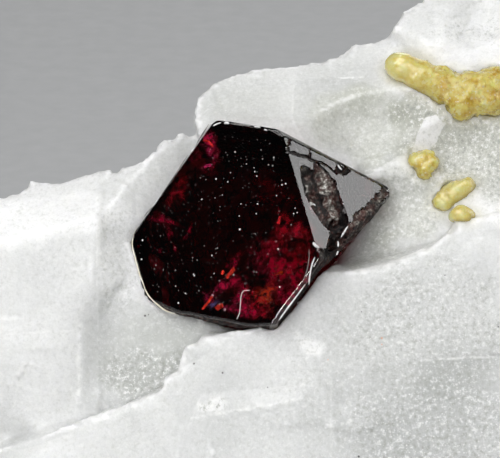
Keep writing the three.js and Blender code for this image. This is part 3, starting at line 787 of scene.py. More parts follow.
    def bump(self, height, distance, strength, normal=None):
        """Bump from a height given in units of `distance` millimetres."""
        inputs = {"Height": height, "Distance": distance * MM, "Strength": strength}
        if normal is not None:
            inputs["Normal"] = normal
        return self.add("Bump", inputs).outputs["Normal"]


def mottled_material(name, size, low, high, first, second, detail=3, **values):
    """A plain material whose colour wanders from one tone to another."""
    nodes = Nodes(name)
    tone = nodes.noise(nodes.place(), size, detail)
    nodes.set(Base_Color=nodes.blend(tone, low, high, first, second), **values)
    return nodes.material


def shaded(colour, share):
    return tuple(share * channel for channel in colour)


def add_plates(nodes, bent, clear, grain):
    """Makes the calcite clearer or whiter within each plate, and the whitest ones smooth. The
    plates that are painted shade make it greyer in the same way.
    """
    for corners, amount in CALCITE_PLATES.values():
        share = nodes.math("MULTIPLY", nodes.plate(bent, corners, 0.03), amount)
        clear = nodes.math("ADD", clear, share)
        if amount < SMOOTH_PLATE:
            grain = nodes.math("MULTIPLY", grain, nodes.ramp(share, amount, 0, 0.3, 1))
    return clear, grain


def stone_tone(nodes, place, clear):
    """The calcite's colour under its grain: frosted or clear, greyer also where painted shade
    raises the clearness, and warm by the yellow grains.
    """
    cloud = nodes.noise(place, 2.6, detail=6, roughness=0.6)
    frosted = nodes.blend(cloud, 0.35, 0.65, (0.89, 0.89, 0.885), (0.94, 0.94, 0.93))
    clearer = nodes.mix(nodes.attribute("green"), (0.52, 0.53, 0.52), (0.53, 0.54, 0.47))
    tone = nodes.blend(clear, 0, 1, frosted, clearer)
    return nodes.mix(nodes.attribute("warm"), tone, (0.84, 0.80, 0.50))


def add_sugar(nodes, place, sugar, grain, tone):
    """Marks the granular calcite: painted shade in the hollows between its grains, white grains
    that are partly painted highlights, and painted glints.
    """
    share = nodes.ramp(grain, 0, 1, 0.12, 0.85)
    # Painted shade in the hollows between the grains.
    painted_hollow_shade = nodes.math("MULTIPLY", nodes.ramp(sugar, 0.48, 0.36), share)
    tone = nodes.mix(painted_hollow_shade, tone, (0.38, 0.39, 0.35))
    share = nodes.ramp(grain, 0, 1, 0.14, 0.9)
    # White grains, partly painted highlights.
    white_grains_and_painted_highlights = nodes.math("MULTIPLY", nodes.ramp(sugar, 0.54, 0.64), share)
    tone = nodes.mix(white_grains_and_painted_highlights, tone, (0.98, 0.98, 0.97))
    fine = nodes.noise(place, 0.08, detail=2)
    tone = nodes.mix(nodes.ramp(fine, 0.35, 0.65, 0.12, 0), tone, (0.45, 0.46, 0.45))
    share = nodes.ramp(grain, 0, 1, 0.15, 0.9)
    # Painted glints: white specks.
    painted_glints = nodes.glitter(place, (0.07, 0.74), (0.12, 0.86), share)
    return nodes.mix(painted_glints, tone, (1, 1, 0.99))


def add_seam_highlights(nodes, place, bent, tone):
    """Draws the painted highlights along the seams, broken up along their length."""
    ragged = nodes.ramp(nodes.noise(place, 0.3, detail=4, roughness=0.65), 0.4, 0.6)
    for start, end, width, amount in CALCITE_SEAM_HIGHLIGHTS.values():
        share = nodes.math("MULTIPLY", nodes.seam(bent, start, end, width), ragged)
        tone = nodes.mix(nodes.math("MULTIPLY", share, amount), tone, (0.98, 0.98, 0.97))
    return tone


def calcite_material():
    nodes = Nodes("calcite")
    place = nodes.place()
    bent = nodes.bend(place, 0.5, 0.16)
    sugar = nodes.noise(place, 0.17, detail=4, roughness=0.7)
    clear, grain = add_plates(nodes, bent, nodes.attribute("clear"), nodes.attribute("grain"))
    tone = add_sugar(nodes, place, sugar, grain, stone_tone(nodes, place, clear))
    tone = add_seam_highlights(nodes, place, bent, tone)
    tone = nodes.mix(nodes.attribute("edge"), tone, (0.97, 0.97, 0.96))
    soft = nodes.bump(nodes.noise(place, 0.9, detail=4), 0.06, 0.6)
    pits = nodes.bump(sugar, 0.08, nodes.ramp(grain, 0, 1, 0.15, 1), soft)
    nodes.set(
        Base_Color=tone,
        Roughness=nodes.ramp(sugar, 0.3, 0.7, 0.45, 0.3),
        Normal=pits,
        IOR=1.6,
        Subsurface_Weight=0.9,
        Subsurface_Radius=(1.0, 1.0, 0.93),
        Subsurface_Scale=1.2 * MM,
        Coat_Weight=0.35,
        Coat_Roughness=0.1,
        Coat_IOR=1.6,
        Coat_Normal=nodes.bump(nodes.facets(place, 0.11), 0.5, 1, pits),
    )
    return nodes.material


def spinel_material():
    nodes = Nodes("spinel")
    place = nodes.place()
    broken = nodes.attribute("broken")
    ripple = nodes.bump(nodes.noise(place, 1.4), 0.01, 0.3)
    chips = nodes.noise(place, 0.16, detail=5, roughness=0.6)
    nodes.set(
        Base_Color=(1, 1, 1),
        Roughness=nodes.ramp(broken, 0, 1, 0.015, 0.06),
        Normal=nodes.bump(chips, 0.05, broken, ripple),
        IOR=1.718,
        Transmission_Weight=1,
    )
    nodes.absorb((0.8, 0.02, 0.3), 2300)
    return nodes.material


def worn_and_painted_light_material():
    """The broken and weathered parts of the crystal, from black through brown to frosted and white.
    Besides the worn tone, its level carries painted shade, which runs to black, and painted
    highlights, which run to white.
    """
    nodes = Nodes("spinel_worn_and_painted_light")
    place = nodes.place()
    mottle = nodes.noise(place, 0.15, detail=5, roughness=0.75)
    level = nodes.math("ADD", nodes.attribute("shade"), nodes.ramp(mottle, 0.36, 0.64, -0.42, 0.42))
    stain = nodes.noise(place, 0.4)
    tone = nodes.blend(stain, 0.42, 0.58, (0.05, 0.044, 0.04), (0.085, 0.032, 0.026))
    # Black where painted shade lowers the level.
    tone = nodes.blend(level, 0.12, 0.36, (0.008, 0.006, 0.006), tone)
    tone = nodes.blend(level, 0.5, 0.8, tone, (0.36, 0.33, 0.29))
    # White where a painted highlight raises the level.
    tone = nodes.blend(level, 0.85, 0.95, tone, (0.9, 0.9, 0.87))
    bump = nodes.bump(mottle, 0.06, 1)
    nodes.set(Base_Color=tone, Normal=bump, Roughness=0.3, Specular_IOR_Level=0.35)
    return nodes.material


# The white and grey lines that are painted highlights on the crystal's edges.
def painted_highlight_material(name, colour):
    return mottled_material(name, 0.12, 0.4, 0.6, shaded(colour, 0.7), colour, Roughness=0.15)


def veil_material(name, colour):
    """A sheet that lets light pass wherever its veil fades."""
    nodes = Nodes(name)
    patchy = nodes.noise(nodes.place(), 0.3, detail=4, roughness=0.6)
    nodes.set(
        Base_Color=nodes.blend(patchy, 0.35, 0.65, shaded(colour, 0.35), colour),
        Normal=nodes.bump(patchy, 0.03, 0.5),
        Roughness=0.55,
        Metallic=0.3,
    )
    cover = nodes.ramp(patchy, 0.4, 0.6, 0.1, 1)
    nodes.fade(nodes.math("MULTIPLY", nodes.attribute("veil"), cover))
    return nodes.material


def flake_material(name, colour, roughness, metal):
    """A bright flake whose rim is ragged where its veil fades."""
    nodes = Nodes(name)
    place = nodes.place()
    patchy = nodes.noise(place, 0.25)
    nodes.set(
        Base_Color=nodes.blend(patchy, 0.4, 0.6, shaded(colour, 0.5), colour),
        Normal=nodes.bump(nodes.noise(place, 0.08), 0.012, 0.6),
        Roughness=roughness,
        Metallic=metal,
    )
    ragged = nodes.noise(place, 0.14, detail=4, roughness=0.7)
    nodes.fade(nodes.ramp(nodes.math("ADD", ragged, nodes.attribute("veil")), 0.85, 1.1))
    return nodes.material


def dust_material():
    return mottled_material("dust", 0.05, 0.3, 0.7, (0.85, 0.84, 0.82), (1, 1, 1), Roughness=0.4)


def speck_material(name, colour):
    faint = tuple(0.3 + 0.7 * channel for channel in colour)
    return mottled_material(name, 0.05, 0.4, 0.7, colour, faint, Roughness=0.6)


def rim_material():
    dark, pale = (0.80, 0.74, 0.55), (0.93, 0.90, 0.78)
    return mottled_material("calcite_rim", 0.4, 0.35, 0.65, dark, pale, Roughness=0.5, IOR=1.6)


def floor_material():
    dark, pale = (0.40, 0.405, 0.41), (0.43, 0.435, 0.44)
    return mottled_material("floor", 1.2, 0.3, 0.7, dark, pale, detail=4, Roughness=0.7)


def yellow_material():
    nodes = Nodes("yellow_grain")
    place = nodes.place()
    rough = nodes.attribute("rough")
    cloud = nodes.noise(place, 0.5, detail=6, roughness=0.75)
    body = nodes.blend(cloud, 0.38, 0.62, (0.74, 0.49, 0.03), (0.98, 0.87, 0.24))
    amber = nodes.ramp(nodes.noise(place, 0.28), 0.42, 0.34, 0, 0.7)
    body = nodes.mix(amber, body, (0.55, 0.33, 0.02))
    pale = nodes.ramp(nodes.noise(place, 0.33), 0.58, 0.66, 0, 0.7)
    body = nodes.mix(pale, body, (1.0, 0.94, 0.55))
    head = nodes.blend(cloud, 0.35, 0.65, (0.93, 0.76, 0.2), (0.98, 0.93, 0.52))
    tone = nodes.mix(rough, head, body)
    # Darker amber where the grain meets the calcite: painted shade along the contact.
    tone = nodes.mix(nodes.attribute("foot"), tone, (0.52, 0.40, 0.06))
    # White specks on the rough parts: painted glints.
    painted_glints = nodes.glitter(place, (0.1, 0.72), (0.17, 0.85), nodes.ramp(rough, 0, 1, 0.1, 0.6))
    lumps = nodes.noise(place, 0.22, detail=4, roughness=0.6)
    bumpy = nodes.bump(lumps, 0.07, nodes.ramp(rough, 0, 1, 0.05, 0.9))
    glassy = nodes.ramp(rough, 0, 1, 0.1, 1)
    nodes.set(
        Base_Color=nodes.mix(painted_glints, tone, (1.0, 0.99, 0.86)),
        Normal=bumpy,
        Roughness=0.12,
        IOR=1.6,
        Transmission_Weight=nodes.ramp(rough, 0, 1, 0.3, 0.4),
        Subsurface_Weight=0.8,
        Subsurface_Radius=(1.0, 0.85, 0.3),
        Subsurface_Scale=0.7 * MM,
        Coat_Weight=1,
        Coat_Roughness=0.05,
        Coat_Normal=nodes.bump(nodes.facets(place, 0.16), 0.5, glassy, bumpy),
    )
    nodes.absorb((1.0, 0.88, 0.42), 130)
    return nodes.material


# ---------------------------------------------------------------- the calcite


def stand_clear(mesh, obj, clearance):
    """Moves a mesh's points that lie in an object, or nearly touch it, out to a clearance.
    A point that would be left standing out alone sinks back to its neighbours."""
    tree = object_tree(obj)
    before = read_points(mesh)
    points = before.copy()
    for index in near_box(points, obj, clearance):
        place, normal, _, _ = tree.find_nearest(points[index])
        inside = (Vector(points[index]) - place).dot(normal)
        if -MOST_CLEARING * MM < inside < clearance:
            points[index] = place + normal * clearance
    moved = points - before
    typical = neighbour_mean(mesh, moved, 2)
    far = np.linalg.norm(moved, axis=1)
    alone = (far > 0.1 * MM) & (far > 1.8 * np.linalg.norm(typical, axis=1))
    for _ in range(4):
        points[alone] = neighbour_mean(mesh, points, 1)[alone]
    write_points(mesh, points)


def nearness(points, objects, reach):
    """How near points are to any of some objects: 1 on them, 0 at the reach, in millimetres."""
    return 1 - np.min([distance_from(points, obj, reach) for obj in objects], axis=0) / reach


def paint_calcite(mesh):
    """Stores how clear, green, granular and warm the calcite is at each point, and how much it is
    whitened along its edges. The clearness also carries painted shade in the creases.
    """
    points = read_points(mesh)
    local = to_front(points)
    bent = local + 0.45 * shifts(local, 1.6, 61, 3)
    clear = 0.4 + 0.14 * layered_noise(local, 3.0, 72, 4)
    green = np.zeros(len(local))
    grain = 0.1 + 0.1 * layered_noise(local, 2.0, 73, 2)
    for centre, radii, clearness, greenness, graininess in CALCITE_PATCHES.values():
        reach = np.linalg.norm((bent - centre) / np.array(radii), axis=1)
        share = 1 - smooth_step(reach, 0.62, 1.15)
        clear += clearness * share
        green = np.maximum(green, greenness * share)
        grain = np.maximum(grain, graininess * share)
    stands_out = convexity(mesh, 6)
    ragged = 0.55 + 0.6 * layered_noise(local, 0.5, 71, 3)
    edge = smooth_step(stands_out, 0.01, 0.04) * ragged
    # Concave places turn greyer: painted shade in the creases.
    clear += 0.3 * smooth_step(-stands_out, 0.012, 0.06)
    behind = smooth_step(-local[:, 2], 3.5, 5.5)
    clear += 0.3 * behind * layered_noise(local, 4.0, 74, 3)
    grain = np.maximum(grain, behind * smooth_step(layered_noise(local, 3.0, 75, 3), 0.1, 0.5))
    grains = [obj for node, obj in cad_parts.items() if node.startswith("yellow_grain")]
    warm = 0.45 * nearness(points, grains, WARM_REACH) ** 2
    painted = {"clear": clear, "green": green, "grain": grain, "edge": edge, "warm": warm}
    for name, values in painted.items():
        set_attribute(mesh, name, np.clip(values, 0, 1))


def soften(mesh, points):
    """Blends away the sharpness of the solid's steps where the stone has none."""
    for centre, radii, rounds in SOFT_PLACES.values():
        reach = np.linalg.norm((to_front(points) - centre) / np.array(radii), axis=1)
        share = (1 - smooth_step(reach, 0.5, 1.0))[:, None]
        points += share * (neighbour_mean(mesh, points, rounds) - points)
    write_points(mesh, points)


def calcite_relief(mesh, local, normals):
    """The height of the stone's broken edges, cleavage steps and grain over the solid."""
    edges = smooth_step(convexity(mesh, 8), 0.02, 0.07)
    edges = np.clip(2 * neighbour_mean(mesh, edges, 3), 0, 1)
    relief = 0.035 * layered_noise(local, 3.5, 1, 3)
    relief += edges * (0.11 * layered_noise(local, 0.6, 5, 3) - 0.03)
    relief += facet_relief(local, 2.6, 2, 0.01)
    relief += terraces(local, 7.5, 3, 0.012)
    relief += 0.014 * layered_noise(local, 0.4, 4, 2)
    off_front = 1 - smooth_step(normals @ OUT, 0, 0.45)
    steps = terraces(local, 3.2, 9, 0.06) + 0.05 * layered_noise(local, 1.1, 10, 3)
    return relief + off_front * steps


def make_calcite(crystal):
    piece = copy_node("calcite_matrix", "calcite")
    voxel_remesh(piece, CALCITE_VOXEL)
    mesh = piece.data
    points = read_points(mesh)
    soften(mesh, points)
    normals = read_normals(mesh)
    local = to_front(points)
    above_base = smooth_step(points[:, 2] / MM, 0.15, 0.7)
    free = above_base * smooth_step(distance_from(points, crystal), 0.05, 0.5)
    points += normals * (calcite_relief(mesh, local, normals) * free * MM)[:, None]
    points[:, 2] = np.maximum(points[:, 2], 0)
    write_points(mesh, points)
    behind = smooth_step(-local[:, 2], 3.5, 6.5)
    decimate(piece, CALCITE_TRIANGLES, np.maximum(free * 0.5, behind))
    stand_clear(piece.data, crystal, CRYSTAL_CLEARANCE * MM)
    paint_calcite(piece.data)
    shade_smooth(piece, 45)
    piece.data.materials.append(calcite_material())
    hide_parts("calcite_matrix")
    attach(piece, "root")
    return piece


def make_calcite_specks(calcite):
    """Grains of dirt sunk in the calcite's front."""
    kinds = {
        "dark": speck_material("speck_dark", (0.10, 0.09, 0.09)),
        "orange": speck_material("speck_orange", (0.75, 0.42, 0.25)),
    }
    tree = object_tree(calcite)
    shape = bmesh.new()
    inward = world_direction(0, 0, -1)
    chosen = []
    for (u, v), radius, kind in CALCITE_SPECKS:
        place, normal, _, _ = tree.ray_cast(Vector(to_world([u, v, 20])), inward)
        before = len(shape.faces)
        add_speck(shape, place, normal, radius * MM)
        chosen += [list(kinds).index(kind)] * (len(shape.faces) - before)
    piece = finish_mesh("calcite_specks", shape)
    add_materials(piece, kinds.values(), chosen)
    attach(piece, "root")


def make_rim():
    """The thin skin of calcite that clings to the crystal's left edge."""
    line = smooth_line([on_face(u, v) for u, v in RIM_LINE], 6)
    line += 0.02 * shifts(line, 0.5, 91, 2)
    radii = 0.03 * end_taper(line, -1, 8) * (1 + 0.3 * layered_noise(line, 0.6, 94, 2))
    shape = bmesh.new()
    add_tube(shape, line - 0.02 * FRONT_NORMAL, radii, 7)
    piece = finish_mesh("calcite_rim", shape)
    piece.data.materials.append(rim_material())
    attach(piece, "root")


# ---------------------------------------------------------------- the crystal


def point_of_plane(u, v, normal, offset):
    """A point of a plane, from its place seen from the front."""
    return np.array([u, v, (offset - normal[0] * u - normal[1] * v) / normal[2]])


def on_face(u, v):
    return point_of_plane(u, v, FRONT_NORMAL, 0)


def on_right_face(u, v):
    return point_of_plane(u, v, LEANING_NORMAL, LEANING_OFFSET)


def saw_steps(depth, height, width):
    """Growth steps along an edge: a saw profile over the depth behind the edge."""
    return height * np.mod(depth / width, 1)


def crystal_planes(mesh):
    """The crystal's flat faces, as normals and distances, and the numbers of its front, right,
    lower right and bottom one. The bevel between front and right is left out."""
    normals, reaches = hull_planes(mesh)
    bevel = (FRONT_NORMAL + RIGHT_NORMAL) / np.linalg.norm(FRONT_NORMAL + RIGHT_NORMAL)
    kept = normals @ (bevel @ AXES) < 0.99
    normals, reaches = normals[kept], reaches[kept]
    front, right, lower_right, bottom = (
        np.argmax(normals @ (normal @ AXES))
        for normal in (FRONT_NORMAL, RIGHT_NORMAL, LOWER_RIGHT_NORMAL, BOTTOM_NORMAL)
    )
    return SimpleNamespace(
        normals=normals,
        reaches=reaches,
        front=front,
        right=right,
        lower_right=lower_right,
        bottom=bottom,
    )


def snap_to_faces(mesh, planes):
    """Puts a remeshed crystal's vertices back on its flat faces. The edges between its keen
    faces stay crisp, and the others are rounded. Gives each vertex's face too, and the depths
    under the nearest two faces."""
    normals = planes.normals
    points = read_points(mesh)
    depths = (planes.reaches - points @ normals.T) / MM
    order = np.argsort(depths, axis=1)
    rows = np.arange(len(points))
    face, other = order[:, 0], order[:, 1]
    nearest = depths[rows, face]
    second = depths[rows, other]
    keen_faces = (planes.front, planes.right, planes.lower_right)
    keen = np.isin(face, keen_faces) & np.isin(other, keen_faces)
    rim = np.where(keen, 0.75 * SPINEL_VOXEL, EDGE_ROUNDING)
    on_plane = (nearest < 0.8 * SPINEL_VOXEL) & (second > rim)
    points += normals[face] * np.where(on_plane, nearest * MM, 0)[:, None]
    rounded = neighbour_mean(mesh, points, 4)
    on_edge = keen & (second <= rim)
    lean = (normals[face] * normals[other]).sum(axis=1)
    first_step = (nearest - lean * second) / (1 - lean**2) * MM
    second_step = (second - lean * nearest) / (1 - lean**2) * MM
    crisp = points + normals[face] * first_step[:, None] + normals[other] * second_step[:, None]
    points = np.where((on_plane | on_edge)[:, None], points, rounded)
    points = np.where(on_edge[:, None], crisp, points)
    return points, face, nearest, second


def lean_right_face(points):
    """Tips the right face towards the viewer, about its edge with the broad face."""
    local = to_front(points)
    away = np.maximum(EDGE_ACROSS - local @ ACROSS_RIGHT, 0)
    under = RIGHT_OFFSET - local @ RIGHT_NORMAL
    lift = math.tan(RIGHT_LEAN) * away * (1 - smooth_step(under, 0.5, 1.6))
    return points + np.outer(lift * MM, RIGHT_NORMAL @ AXES)


def study_skin(points, planes, face, nearest, second):
    """How deep each point of the crystal's surface lies under its faces, and how it is broken:
    where it is pitted, in the ragged strip by the tip, on the flaked side and foot."""
    local = to_front(points)
    lower_depth, bottom_depth = (
        (planes.reaches[plane] - points @ planes.normals[plane]) / MM
        for plane in (planes.lower_right, planes.bottom)
    )
    seen = local[:, :2]
    under_front = -(local @ FRONT_NORMAL)
    under_right = LEANING_OFFSET - local @ LEANING_NORMAL
    ragged = layered_noise(local, 0.55, 81, 3)
    off_edge = smooth_step(second, 0.02, 0.1)
    on_front = np.isin(face, (planes.front, planes.right))
    flank = ~on_front & (seen[:, 0] > 2.4) & (seen[:, 1] < 1)
    return SimpleNamespace(
        local=local,
        seen=seen,
        ragged=ragged,
        under_front=under_front,
        under_right=under_right,
        depth=np.minimum(under_front, under_right),
        bottom_depth=bottom_depth,
        pitted=smooth_step(nearest, 0.06, 0.12),
        strip=(lower_depth < 0.36 + 0.12 * ragged) & (face == planes.right),
        side=np.maximum((face == planes.lower_right) * off_edge, flank),
        foot=(face == planes.bottom) * off_edge,
    )


def crystal_relief(skin):
    """The height of the crystal's broken surface over its flat faces, and where it is cracked."""
    local = skin.local
    hidden = smooth_step(skin.depth, *HIDDEN_DEPTHS)
    relief = -0.3 * hidden * np.maximum(0.6 + layered_noise(local, 1.3, 82, 4), 0.2)
    relief += skin.pitted * (0.2 * layered_noise(local, 0.5, 83, 2) - 0.05)
    from_corner = np.linalg.norm(local - BURIED_CORNER, axis=1)
    relief -= CORNER_ROUNDING * (1 - smooth_step(from_corner, 0.3, 1.0))
    relief -= skin.strip * (0.06 + 0.1 * layered_noise(local, 0.3, 84, 2))
    relief -= skin.side * saw_steps(skin.under_front + 0.1 * skin.ragged, 0.12, 0.45)
    relief -= skin.foot * saw_steps(skin.under_front + 0.1 * skin.ragged, 0.1, 0.3)
    cracked = np.zeros(len(local))
    for line, reach, depth in RIGHT_FACE_CRACKS:
        away = line_distance(skin.seen + 0.05 * skin.ragged[:, None], line)
        share = (1 - smooth_step(away, 0.35 * reach, reach)) * (skin.under_right < 0.9)
        relief -= depth * share
        cracked = np.maximum(cracked, share)
    return relief, cracked


def stretch_foot(points, skin):
    """Carries the broad face further down over the foot of the crystal."""
    down = BOTTOM_NORMAL - (BOTTOM_NORMAL @ FRONT_NORMAL) * FRONT_NORMAL
    down /= np.linalg.norm(down)
    across = skin.local[:, 0]
    share = np.clip(1 - skin.bottom_depth / 1.6, 0, 1) * np.clip(1 - skin.under_front / 1.8, 0, 1)
    share *= smooth_step(across, -4.1, -2.6) * (1 - smooth_step(across, -0.1, 1.0))
    return points + np.outer(FOOT_REACH * MM * share, down @ AXES)


def swell_outline(points, skin, surface):
    """Bulges the crystal's outline out at its left and its foot, in small waves."""
    rim = smooth_step(0.9 - skin.under_front, 0, 0.5)
    waves = 0.6 + 0.4 * np.sin(7.5 * skin.seen[:, 1] + 3 * skin.ragged)
    front = FRONT_NORMAL @ AXES
    outward = surface - np.outer(surface @ front, front)
    for centre, reach, height in SWELLINGS:
        away = np.linalg.norm(skin.seen - centre, axis=1)
        swell = height * waves * rim * (1 - smooth_step(away, 0.2 * reach, reach))
        points += outward * (swell * MM)[:, None]
    return points


def worn_tone_and_painted_light(skin):
    # The worn tone, with painted shade along the dark lines and painted highlights at the glints.
    shade = 0.27 + 0.03 * skin.pitted + 0.08 * skin.strip
    for line, reach, amount in WORN_TONES_AND_PAINTED_LIGHT.values():
        away = line_distance(skin.seen + 0.04 * skin.ragged[:, None], line)
        shade += amount * (1 - smooth_step(away, 0.4 * reach, reach))
    return np.clip(shade, 0, 1)


def make_spinel():
    piece = copy_node("spinel_crystal", "spinel")
    planes = crystal_planes(piece.data)
    voxel_remesh(piece, SPINEL_VOXEL)
    mesh = piece.data
    points, face, nearest, second = snap_to_faces(mesh, planes)
    points = lean_right_face(points)
    skin = study_skin(points, planes, face, nearest, second)
    relief, cracked = crystal_relief(skin)
    surface = read_normals(mesh)
    points = stretch_foot(points, skin) + surface * (relief * MM)[:, None]
    write_points(mesh, swell_outline(points, skin, surface))
    # The worn tone of the broken parts, with their painted shade and painted highlights.
    set_attribute(mesh, "shade", worn_tone_and_painted_light(skin))
    set_attribute(mesh, "broken", smooth_step(skin.depth, *HIDDEN_DEPTHS))
    shade_smooth(piece, 35)
    worn = skin.pitted + skin.strip + 0.8 * cracked + skin.side + skin.foot
    worn *= skin.depth < HIDDEN_DEPTHS[1]
    chosen = [int(np.mean(worn[list(polygon.vertices)]) > 0.5) for polygon in mesh.polygons]
    add_materials(piece, (spinel_material(), worn_and_painted_light_material()), chosen)
    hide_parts("spinel_crystal")
    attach(piece, "root")
    return piece


def make_painted_edge_highlights():
    """Painted highlights: bright lines along the crystal's edges and chips."""
    faces = {"front": on_face, "right": on_right_face}
    kinds = {
        "white": painted_highlight_material("painted_highlight_white", (0.95, 0.95, 0.95)),
        "grey": painted_highlight_material("painted_highlight_grey", (0.24, 0.23, 0.22)),
    }
    shape = bmesh.new()
    chosen = []
    for index, (face, line, radius, kind) in enumerate(PAINTED_EDGE_HIGHLIGHTS):
        path = smooth_line([faces[face](u, v) for u, v in line], 8)
        radii = radius * end_taper(path, -2, 4)
        radii *= 1 + 0.3 * layered_noise(path, 0.3, 120 + index, 2)
        before = len(shape.faces)
        add_tube(shape, path, radii, 8)
        chosen += [list(kinds).index(kind)] * (len(shape.faces) - before)
    piece = finish_mesh("spinel_painted_edge_highlights", shape)
    add_materials(piece, kinds.values(), chosen)
    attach(piece, "root")


def make_dust():
    """Dust on the crystal's faces, and one fibre, all one mesh."""
    random = np.random.default_rng(11)
    shape = bmesh.new()
    front = world_direction(*FRONT_NORMAL)
    normals, reaches = hull_planes(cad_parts["spinel_crystal"].data)
    made = 0
    while made < DUST_COUNT:
        spot = to_world(on_face(*random.uniform((-4.8, -4.0), (3.2, 4.4))))
        depths = (reaches - spot @ normals.T) / MM
        if np.sort(depths)[1] < 0.2:
            continue
        add_speck(shape, spot, front, (0.008 + 0.028 * random.random() ** 6) * MM)
        made += 1
    for place, radius in BRIGHT_DUST:
        add_speck(shape, to_world(on_face(*place)), front, radius * MM)
    fibre = smooth_line([on_face(u, v) + FRONT_NORMAL * 0.03 for u, v in FIBRE], 6)
    add_tube(shape, fibre, np.full(len(fibre), FIBRE_RADIUS), 6)
    piece = finish_mesh("dust", shape)
    piece.data.materials.append(dust_material())
    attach(piece, "root")


# ---------------------------------------------------------------- inside the crystal


def mirrored(centre, offsets):
    """Points about a centre inside the crystal, on a plane that mirrors the key light."""
    depth = -(offsets @ MIRROR_NORMAL[:2]) / MIRROR_NORMAL[2]
    return centre + np.column_stack([offsets, depth])


def rod_sheet(path, width, random):
    """A narrow flake along a line that frays at its rim: its points, faces and strengths."""
    sides = (-0.6, -0.2, 0.2, 0.6)
    points = []
    strengths = []
    for index, (u, v) in enumerate(path):
        along = path[min(index + 1, len(path) - 1)] - path[max(index - 1, 0)]
        across = np.array([-along[1], along[0]]) / np.linalg.norm(along)
        at_end = index in (0, len(path) - 1)
        taper = 0.75 if at_end else 1.0
        centre = on_face(u, v) - FRONT_NORMAL * 0.12
        for side in sides:
            strengths.append(0.2 if at_end or abs(side) > 0.5 else 0.9)
            offset = across * side * width * taper * random.uniform(0.85, 1.15)
            bump = FRONT_NORMAL * random.normal(scale=0.006)
            points.append(mirrored(centre, offset[None, :])[0] + bump)
    faces = []
    for row, column in itertools.product(range(len(path) - 1), range(len(sides) - 1)):
        first = len(sides) * row + column
        faces.append((first, first + 1, first + len(sides) + 1, first + len(sides)))
    return np.array(points), faces, strengths


def veil_sheet(centre, halves, turn, depth, strength, random):
    """A rounded sheet that fades towards its rim: its points, faces and strengths."""
    rings, spokes = 9, 22
    angle = math.radians(turn)
    axes = np.array([[math.cos(angle), math.sin(angle)], [-math.sin(angle), math.cos(angle)]])
    middle = on_face(*centre) - FRONT_NORMAL * depth
    around = np.arange(spokes) * 2 * math.pi / spokes
    lobes = 1 + 0.25 * np.sin(3 * around + random.uniform(0, 6))
    offsets = [np.zeros(2)]
    strengths = [strength]
    for ring, spoke in itertools.product(range(1, rings + 1), range(spokes)):
        share = ring / rings
        reach = 1.35 * share * lobes[spoke] * random.uniform(0.96, 1.04)
        way = np.array([math.cos(around[spoke]), math.sin(around[spoke])])
        offsets.append((way * halves * reach) @ axes)
        strengths.append(strength * (1 - smooth_step(share, 0.1, 1.0)))
    points = mirrored(middle, np.array(offsets))
    points += 0.05 * layered_noise(points, 0.5, 97, 2)[:, None] * FRONT_NORMAL
    faces = [(0, 1 + spoke, 1 + (spoke + 1) % spokes) for spoke in range(spokes)]
    for ring, spoke in itertools.product(range(rings - 1), range(spokes)):
        first = 1 + ring * spokes + spoke
        after = 1 + ring * spokes + (spoke + 1) % spokes
        faces.append((first, first + spokes, after + spokes, after))
    return points, faces, strengths


def inclusion_materials():
    """The materials of the flakes and of the veils, by colour."""
    flakes = {
        "pink": ((1.0, 0.08, 0.3), 0.35, 1.0),
        "red": ((0.9, 0.05, 0.05), 0.45, 0.8),
        "orange": ((1.0, 0.10, 0.05), 0.35, 1.0),
        "white": ((1.0, 1.0, 1.0), 0.3, 1.0),
    }
    veils = {
        "crimson": (1.0, 0.02, 0.22),
        "red": (1.0, 0.03, 0.1),
        "orange": (1.0, 0.2, 0.03),
        "blue": (0.25, 0.5, 1.0),
    }
    made = {}
    for kind, look in flakes.items():
        made["flake_" + kind] = flake_material("flake_" + kind, *look)
    for kind, colour in veils.items():
        made["veil_" + kind] = veil_material("veil_" + kind, colour)
    return made


def make_inclusions():
    """Thin flakes and veils inside the crystal that show through its broad face."""
    random = np.random.default_rng(7)
    normals, reaches = hull_planes(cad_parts["spinel_crystal"].data)
    materials = inclusion_materials()
    sheets = []
    for line, width, kind in RODS.values():
        path = smooth_line([(*corner, 0) for corner in line], 5)[:, :2]
        sheets.append((*rod_sheet(path, width, random), "flake_" + kind))
    for *shape, kind in VEILS.values():
        sheets.append((*veil_sheet(*shape, random), "veil_" + kind))
    points, faces, cover, chosen = [], [], [], []
    for corners, patches, strengths, kind in sheets:
        inside = (reaches - to_world(corners) @ normals.T).min(axis=1) / MM > FLAKE_COVER
        kept = [patch for patch in patches if inside[list(patch)].all()]
        faces += [tuple(index + len(points) for index in patch) for patch in kept]
        chosen += [list(materials).index(kind)] * len(kept)
        points += list(corners)
        cover += list(strengths)
    mesh = bpy.data.meshes.new("spinel_inclusions")
    mesh.from_pydata([tuple(point) for point in to_world(points)], [], faces)
    mesh.validate()
    piece = link(bpy.data.objects.new("spinel_inclusions", mesh))
    set_attribute(mesh, "veil", cover)
    add_materials(piece, materials.values(), chosen)
    shade_smooth(piece)
    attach(piece, "root")


# ---------------------------------------------------------------- the yellow grains


def cut_angular(obj, seed):
    """Replaces a mesh with the flat-sided lump that spans its furthest points."""
    random = np.random.default_rng(seed)
    points = read_points(obj.data)
    ways = random.normal(size=(GRAIN_CORNERS, 3))
    shape = bmesh.new()
    for index in sorted(set(np.argmax(points @ ways.T, axis=0))):
        shape.verts.new(points[index])
    bmesh.ops.convex_hull(shape, input=shape.verts)
    shape.to_mesh(obj.data)
    shape.free()


